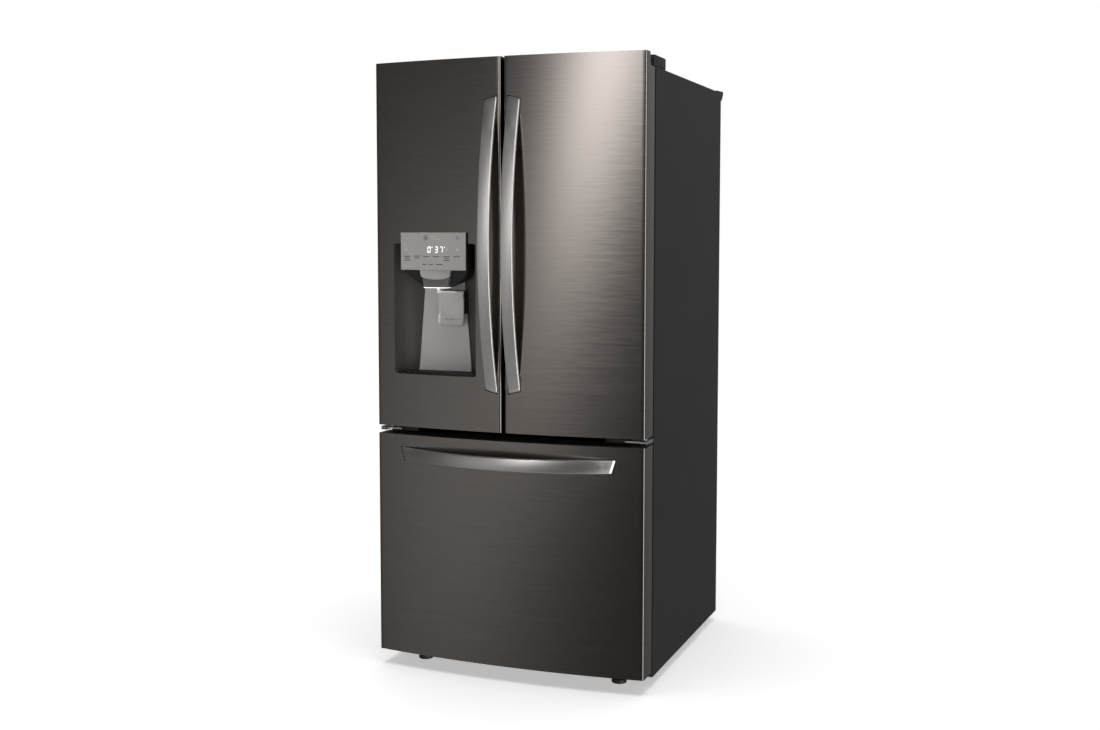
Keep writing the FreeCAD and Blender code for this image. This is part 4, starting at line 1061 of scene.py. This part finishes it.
digit(-230, 1248, "abcdef")
digit(-206, 1248, "abcdg")
digit(-190, 1248, "abc")
mark(digits, -220, 1255, 1.4, 3.6)
mark(digits, -179, 1255, 2.2, 2.2)
for x in (-308, -172, -137):
    for k in range(3):
        mark(faint, x, 1248, 9, 1.4, turn=math.radians(60 * k))
for x, z, count in ((-304, 1228, 3), (-271, 1229, 2), (-240, 1228, 1), (-207, 1228, 1), (-173, 1228, 3),
                    (-140, 1228, 1)):
    for k in range(count):
        mark(ink, x, z - 5.6 * k, 21 - 5 * (k % 2), 2.2)
for x, wide in ((-246, 14), (-224, 14), (-196, 22)):
    mark(ink, x, 1205, wide, 2.4)
for k in range(6):
    turn = math.radians(60 * k)
    mark(ink, -241 + 6 * math.cos(turn), 1282 + 6 * math.sin(turn), 6.4, 1.5, turn=turn + math.pi / 2)
    mark(ink, -137 + 4 * math.cos(turn), 1282 + 4 * math.sin(turn), 4.4, 1.3, turn=turn + math.pi / 2)
mark(ink, -241, 1282, 5, 5)
for k, wide in ((0, 18), (1, 30)):
    mark(faint, -220 + wide / 2 - 4, 1285 - 6.5 * k, wide, 2.0)
mark(faint, -300, 1199.5, 40, 1.6)
fit("panel_digits", digits, white_light, "left_door", "panel_glass")
fit("panel_print", ink, print_ink, "left_door", "panel_glass")
fit("panel_icons", faint, pale_ink, "left_door", "panel_glass")

funnel = bmesh.new()
rings = []
for z, x0, x1, y0, y1, radius in ((1192, -322, -115, -100, -29, 4), (1184, -322, -115, -96, -29, 6),
                                  (1163, -296, -128, -92, -34, 12), (1146, -274, -160, -88, -50, 12),
                                  (1139, -263, -175, -86, -58, 10)):
    rings.append([funnel.verts.new(put(x, y, z)) for x, y in round_rect(x0, x1, y0, y1, radius, 4)])
quads(funnel, rings)
funnel.faces.new(rings[0])
funnel.faces.new(rings[-1][::-1])
fit("ice_funnel", funnel, black, "left_door", "dark_plastic", "dispenser_chute", sharp=40)

tab = bmesh.new()
tab_line = [(-262, 1190), (-164, 1190), (-166, 1180)]
tab_line += [(-213 + 46 * math.cos(math.radians(a)), 1172 + 10.5 * math.sin(math.radians(a)))
             for a in range(0, -181, -15)]
tab_line += [(-261, 1180)]
prism(tab, tab_line, "y", -110, -100)
edges = [e for e in tab.edges if all(abs(v.co.y - put(0, -110, 0).y) < 1e-5 for v in e.verts)]
bmesh.ops.bevel(tab, geom=edges, offset=0.0015, segments=2, affect="EDGES")
fit("funnel_tab", tab, panel_finish, "left_door", "panel_glass")
spout = bmesh.new()
spout_line = [(-258, 1166), (-168, 1166), (-176, 1142), (-180, 1139), (-251, 1139), (-254, 1142)]
prism(spout, spout_line, "y", -103, -60)
bmesh.ops.bevel(spout, geom=list(spout.edges), offset=0.002, segments=2, affect="EDGES")
spout_grey = Finish("spout_grey", (0.13, 0.127, 0.122), 0.4)
grain = spout_grey.noise(600, 2)
spout_grey.set("Base Color", spout_grey.between(grain, (0.115, 0.112, 0.108), (0.15, 0.146, 0.14)))
fit("funnel_spout", spout, spout_grey, "left_door", "dark_plastic")
strip = bmesh.new()
block(strip, -254, -182, -101, -66, 1136.5, 1139.5, 1.2)
fit("work_light", strip, lit("work_light_glow", (1.0, 1.0, 0.98), 0.9), "left_door", "liner_white")
nozzle = bmesh.new()
where = Matrix.Translation(put(-216, -80, 1131))
bmesh.ops.create_cone(nozzle, cap_ends=True, segments=32, radius1=0.0042, radius2=0.0055, depth=0.020,
                      matrix=where)
edges = [e for e in nozzle.edges if abs(e.verts[0].co.z - e.verts[1].co.z) < 1e-6]
bmesh.ops.bevel(nozzle, geom=edges, offset=0.0012, segments=3, affect="EDGES")
fit("water_nozzle", nozzle, white, "left_door", "liner_white")

paddle_low, paddle_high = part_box("dispenser_paddle")
paddle_x0, paddle_x1 = paddle_low.x * 1000, paddle_high.x * 1000
paddle_z0, paddle_z1 = paddle_low.z * 1000, paddle_high.z * 1000
paddle_y = -52.0
paddle_tall = paddle_z1 - 2 - paddle_z0
lever = bmesh.new()
rows = []
for i in range(73):
    z = paddle_z0 + paddle_tall * (1 - i / 72)
    below = max(0.0, 14.0 - (z - paddle_z0))
    tuck = 14.0 - math.sqrt(max(0.0, 196.0 - below ** 2))
    height = 2 * (z - paddle_z0) / paddle_tall - 1
    row = []
    for j in range(37):
        t = -1 + 2 * j / 36
        x = (paddle_x0 + paddle_x1) / 2 + t * ((paddle_x1 - paddle_x0) / 2 - tuck)
        rim = 1.6 * abs(t) ** 14 + 1.2 * abs(height) ** 30
        groove = 1.6 * math.exp(-((z - 1046 - 3 * t * t) / 1.5) ** 2) * max(0.0, 1 - (abs(t) / 0.66) ** 8)
        roll = 4.0 * max(0.0, (height - 0.86) / 0.14) ** 2
        row.append((x, paddle_y - 5.0 + 4.4 * (1 - height ** 2) - rim + groove + roll, z))
    rows.append(row)
thin_shell(lever, rows, [[(x, paddle_y + 2.0, z) for x, y, z in row] for row in rows])


def paddle_plastic():
    satin = Finish("paddle_grey", (0.55, 0.54, 0.525), 0.3, Metallic=0.4)
    drift = satin.noise(25, 2)
    satin.set("Base Color", satin.between(drift, (0.52, 0.508, 0.494), (0.60, 0.588, 0.572)))
    satin.set("Roughness", 0.24 + drift * 0.1)
    return satin


# Painted shadow: thin dark plates on the pale back, behind and right of the paddle, stand in for its shade.
shadow_plates = bmesh.new()
low_plate = round_rect(paddle_x0 + 3, paddle_x1 + 3, paddle_z0 + 8, paddle_z0 + 60, 8)
prism(shadow_plates, low_plate, "y", recess_back - 4.2, recess_back - 3.4)
high_plate = round_rect(paddle_x0 + 3, paddle_x1 + 4, paddle_z0 + 36, paddle_z1, 6)
prism(shadow_plates, high_plate, "y", recess_back - 6.8, recess_back - 4.3)
fit("paddle_painted_shadow", shadow_plates, black, "left_door", "dark_plastic")
fit("push_paddle", lever, paddle_plastic(), "paddle", "paddle_grey", "dispenser_paddle", sharp=60)

drip = bmesh.new()
drip_line = front_line(recess_x0 + 9, recess_x1 - 9, recess_back - 14, 8.0, 3.0)
prism(drip, drip_line, "z", recess_z0 + 0.5, recess_z0 + 8)
bars = bmesh.new()
for i in range(19):
    x = recess_x0 + 24 + 12 * i
    prism(bars, round_rect(x, x + 5, -96, recess_back - 24, 2.4), "z", recess_z0 + 3, recess_z0 + 12)
drip = carve(drip, bars)
fit("drip_grid", drip, black, "left_door", "dark_plastic", "drip_tray")

# ---------------- drawer front ----------------
# The freezer drawer's front is the same folded tray as the doors, in one full-width piece, with the bowed
# bar across its top edge.

pull_low, pull_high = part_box("freezer_handle")
pull_reach = pull_high.x * 1000
pull_z0, pull_z1 = pull_low.z * 1000, pull_high.z * 1000


def pull_end(side):
    """Outline of a socket for the drawer's bar, which reaches 60 mm along the bar from its end."""
    tip = side * (pull_reach + handle_gap)
    short = side * (pull_reach - handle_slant + handle_gap)
    inner = side * (pull_reach - 60)
    top = pull_z1 + handle_gap
    bottom = pull_z0 - handle_gap
    return [(tip, top), (short, bottom), (inner, bottom), (inner, top)]


front = folded_front(-half, half, drawer_bottom, drawer_top)
tool = bmesh.new()
pull_face = front_at(pull_reach)
for side in (-1, 1):
    prism(tool, pull_end(side), "y", pull_face - 40, pull_face + 6)
front = carve(front, tool)
fit("drawer_front", front, black_steel, "freezer_drawer", "black_stainless", "freezer_door_skin", sharp=20)
cups = bmesh.new()
hollow = bmesh.new()
for side in (-1, 1):
    line = pull_end(side)
    prism(cups, line, "y", pull_face + 1.5, pull_face + 17.5)
    prism(hollow, drawn_in(line, 0.97, 0.96), "y", pull_face - 45, pull_face + 16)
fit("drawer_handle_cups", carve(cups, hollow), black, "freezer_drawer", "dark_plastic")


def level(s, out, u):
    return s, out, pull_z1 - u


drawer_steel = brushed("drawer_handle_steel", (0.74, 0.715, 0.69), (0.90, 0.87, 0.845), (8, 700, 700), 0.3,
                       0.5, 0.25, 1.2)
handle_bar("drawer_pull", "freezer_drawer", "freezer_handle", drawer_steel, level, -pull_reach, pull_reach,
           pull_face, 60 + pull_face - front_at(0), (0.0, pull_z1 - pull_z0), handle_slant)

# ---------------- ice compartment ----------------
# The ice maker drops cubes into a lift-out bucket of clear plastic in the left door. A white moulded cover
# swings on the door's liner in front of it and is held shut by a grey catch.

ice_low, ice_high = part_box("ice_room")
ice_x0, ice_x1 = ice_low.x * 1000, ice_high.x * 1000
ice_z0, ice_z1 = ice_low.z * 1000, ice_high.z * 1000
bucket = bmesh.new()
bin_shell(bucket, ice_x0 + 16, ice_x1 - 16, -6, 104, ice_z0 + 14, ice_z0 + 190, 3, 10, 4)
fit("ice_bucket", bucket, clear, "left_door", "clear_plastic")
maker = bmesh.new()
block(maker, ice_x0 + 18, ice_x1 - 18, 6, 96, ice_z0 + 236, ice_z0 + 262, 4)
block(maker, ice_x0 + 18, ice_x0 + 52, 4, 98, ice_z0 + 225, ice_z0 + 300, 5)
for k in range(7):
    x = ice_x0 + 66 + 19 * k
    block(maker, x, x + 13, 14, 88, ice_z0 + 226, ice_z0 + 240, 4)
fit("ice_maker", maker, white_plastic, "left_door", "bin_plastic")
raised = bmesh.new()
prism(raised, round_rect(ice_x0 + 26, ice_x1 - 26, ice_z0 + 30, ice_z1 - 30, 12), "y", 119, 121)
fit("ice_cover_panel", raised, white, "ice_cover", "liner_white")
catch = bmesh.new()
block(catch, ice_x1 - 18, ice_x1 - 6, 119.5, 126.5, ice_z0 + 146, ice_z0 + 194, 2.5, 3)
fit("ice_cover_catch", catch, cap_grey, "ice_cover", "door_cap_grey")

# ---------------- mullion flap ----------------
# A hinged bar of dark plastic on the left door's edge swings out behind the split and seals it. A thin steel
# strip is bonded to the side that faces the shelves once the bar is out.

flap_low, flap_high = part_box("mullion")
strip_x = flap_low.x * 1000
facing_strip = bmesh.new()
block(facing_strip, strip_x - 0.6, strip_x + 0.4, 8, 66, flap_low.z * 1000 + 12, flap_high.z * 1000 - 26, 0.3)
fit("mullion_strip", facing_strip, hinge_finish, "mullion_flap", "hinge_steel")

# ---------------- freezer drawer ----------------
# A deep bin hangs between the two full-extension rails behind the drawer's front, and a shallow tray slides
# above it on ledges of the liner.

deep = bmesh.new()
deep_half = 337.0
bin_shell(deep, -deep_half, deep_half, 44, 474, 100, 476, 3, 18, 9)
fit("freezer_deep_bin", deep, white_plastic, "freezer_drawer", "bin_plastic", "freezer_basket")
splitter = bmesh.new()
splitter_line = [(60, 106), (458, 106), (462, 430), (440, 444), (78, 444), (56, 430)]
prism(splitter, splitter_line, "x", -1.6, 1.6)
windows = bmesh.new()
for y in range(86, 391, 76):
    for z in range(128, 351, 74):
        prism(windows, round_rect(y, y + 58, z, z + 56, 8), "x", -9, 9)
fit("freezer_bin_divider", carve(splitter, windows), clear, "freezer_drawer", "clear_plastic")
hangers = bmesh.new()
for side in (-1, 1):
    x0, x1 = sorted((side * (deep_half - 2), side * 350))
    block(hangers, x0, x1, 60, 458, 462, 468, 1.5)
fit("freezer_bin_hangers", hangers, white_plastic, "freezer_drawer", "bin_plastic")
tray_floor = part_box("freezer_tray")[0].z * 1000
shallow = bmesh.new()
bin_shell(shallow, -343, 343, 60, 578, tray_floor, tray_floor + 85, 3, 18, 7)
for side in (-1, 1):
    x0, x1 = sorted((side * 341, side * 360))
    block(shallow, x0, x1, 70, 568, tray_floor + 77, tray_floor + 81, 1)
fit("freezer_upper_tray", shallow, white_plastic, "upper_tray", "bin_plastic", "freezer_tray")
paint_node(hinge_finish, "freezer_rail_outer", "freezer_rail_mid", "freezer_rail_inner")

# ---------------- studio ----------------
# A white floor fades into a white surround under one large soft light overhead. The steel mirrors a dimmer
# room with a few soft patches of light on its walls.


class Surround(Finish):
    """The studio's walls, whose brightness depends on the direction only."""

    def __init__(self, name):
        self.world = bpy.data.worlds.new(name)
        self.world.use_nodes = True
        self.tree = self.world.node_tree
        self.shader = self.tree.nodes["Background"]
        self.here = self.node("TexCoord", out="Generated")

    def along(self, azimuth, height):
        """How far each direction points along one, whose azimuth is counted to the right from the front."""
        a, h = math.radians(azimuth), math.radians(height)
        way = (math.sin(a) * math.cos(h), -math.cos(a) * math.cos(h), math.sin(h))
        return self.node("VectorMath", {"operation": "DOT_PRODUCT"}, {0: self.here, 1: way}, out="Value")

    def glow(self, azimuth, height, wide, tall, lean):
        """A soft patch of light on the wall; lean turns its long side from upright."""
        a, h, turn = math.radians(azimuth), math.radians(height), math.radians(lean)
        right = Vector((math.cos(a), math.sin(a), 0))
        up = Vector((-math.sin(a) * math.sin(h), math.cos(a) * math.sin(h), math.cos(h)))
        distance = 0
        for way, spread in ((right * math.cos(turn) - up * math.sin(turn), wide),
                            (right * math.sin(turn) + up * math.cos(turn), tall)):
            off = self.node("VectorMath", {"operation": "DOT_PRODUCT"}, {0: self.here, 1: way}, out="Value")
            part = (off / math.sin(math.radians(spread))) ** 2
            distance = part + distance
        ahead = self.node("MapRange", {"interpolation_type": "SMOOTHSTEP"},
                          {"Value": self.along(azimuth, height), "From Min": 0.3, "From Max": 0.7})
        return self.node("Math", {"operation": "EXPONENT"}, {0: distance * -0.5}) * ahead


room_light = Surround("studio")
bpy.context.scene.world = room_light.world
smooth = {"interpolation_type": "SMOOTHSTEP"}
behind = room_light.node("MapRange", smooth, {"Value": room_light.along(180, 0), "From Min": -0.7,
                                              "From Max": 0.9, "To Min": 0.05, "To Max": 0.30})
above = room_light.node("MapRange", smooth, {"Value": room_light.along(0, 90), "From Min": -0.5,
                                             "From Max": 0.6, "To Min": 0.45, "To Max": 1.3})
strip_glow = room_light.glow(-5.5, 10.5, 3.0, 8.7, 44) * 5.4
shiny = room_light.node("LightPath", out="Is Glossy Ray")
edge_glow = room_light.glow(62, 0, 10, 50, 0) * shiny * 3.4
side_glow = room_light.glow(-34, -8, 12.5, 9.5, 0) * 0.31 + room_light.glow(-16, -50, 26, 12, 0) * 0.42
band_glow = room_light.glow(-21, -2, 5.5, 12, 42) * 0.13
seen = room_light.node("LightPath", out="Is Camera Ray")
dim = behind * above + strip_glow + side_glow + band_glow + edge_glow
room_light.set("Color", (1.0, 1.0, 1.0, 1.0))
room_light.set("Strength", dim + (1 - dim) * seen)
ground = bmesh.new()
bmesh.ops.create_circle(ground, cap_ends=True, segments=96, radius=9.0)
floor_mesh = bpy.data.meshes.new("floor")
ground.to_mesh(floor_mesh)
ground.free()
floor = bpy.data.objects.new("floor", floor_mesh)
bpy.context.scene.collection.objects.link(floor)
floor_white = Finish("studio_floor", (0.9, 0.9, 0.9), 0.9, Emission_Strength=1.0)
apart = floor_white.node("VectorMath", {"operation": "LENGTH"}, {0: floor_white.here}, out="Value")
away = floor_white.node("MapRange", smooth, {"Value": apart, "From Min": 0.5, "From Max": 2.3})
floor_white.set("Base Color", floor_white.between(away, (0.9, 0.9, 0.9), (0.0, 0.0, 0.0)))
floor_white.set("Emission Color", floor_white.between(away, (0.44, 0.44, 0.44), (1.0, 1.0, 1.0)))
floor_white.set("Alpha", 1 - floor_white.node("NewGeometry", out="Backfacing"))
floor_mesh.materials.append(floor_white.material)
floor.visible_glossy = False

overhead = bpy.data.lights.new("overhead", "AREA")
overhead.shape = "SQUARE"
overhead.size = 4.0
overhead.energy = 160
lamp_place = Vector((0.0, -0.4, 4.4))
hung = bpy.data.objects.new("overhead", overhead)
hung.location = lamp_place
hung.rotation_euler = (-lamp_place).to_track_quat("-Z", "Y").to_euler()
hung.visible_glossy = False
bpy.context.scene.collection.objects.link(hung)

lens = bpy.data.cameras.new("camera")
lens.lens = 43.50
lens.sensor_width = 36.0
lens.shift_x = -0.00515
lens.shift_y = -0.0281
camera = bpy.data.objects.new("camera", lens)
camera.location = (1.4921, -3.8646, 1.2910)
camera.rotation_euler = (math.pi / 2 - 0.0746, -0.0009, 0.3679)
bpy.context.scene.collection.objects.link(camera)
bpy.context.scene.camera = camera
bpy.context.scene.view_settings.view_transform = "Standard"
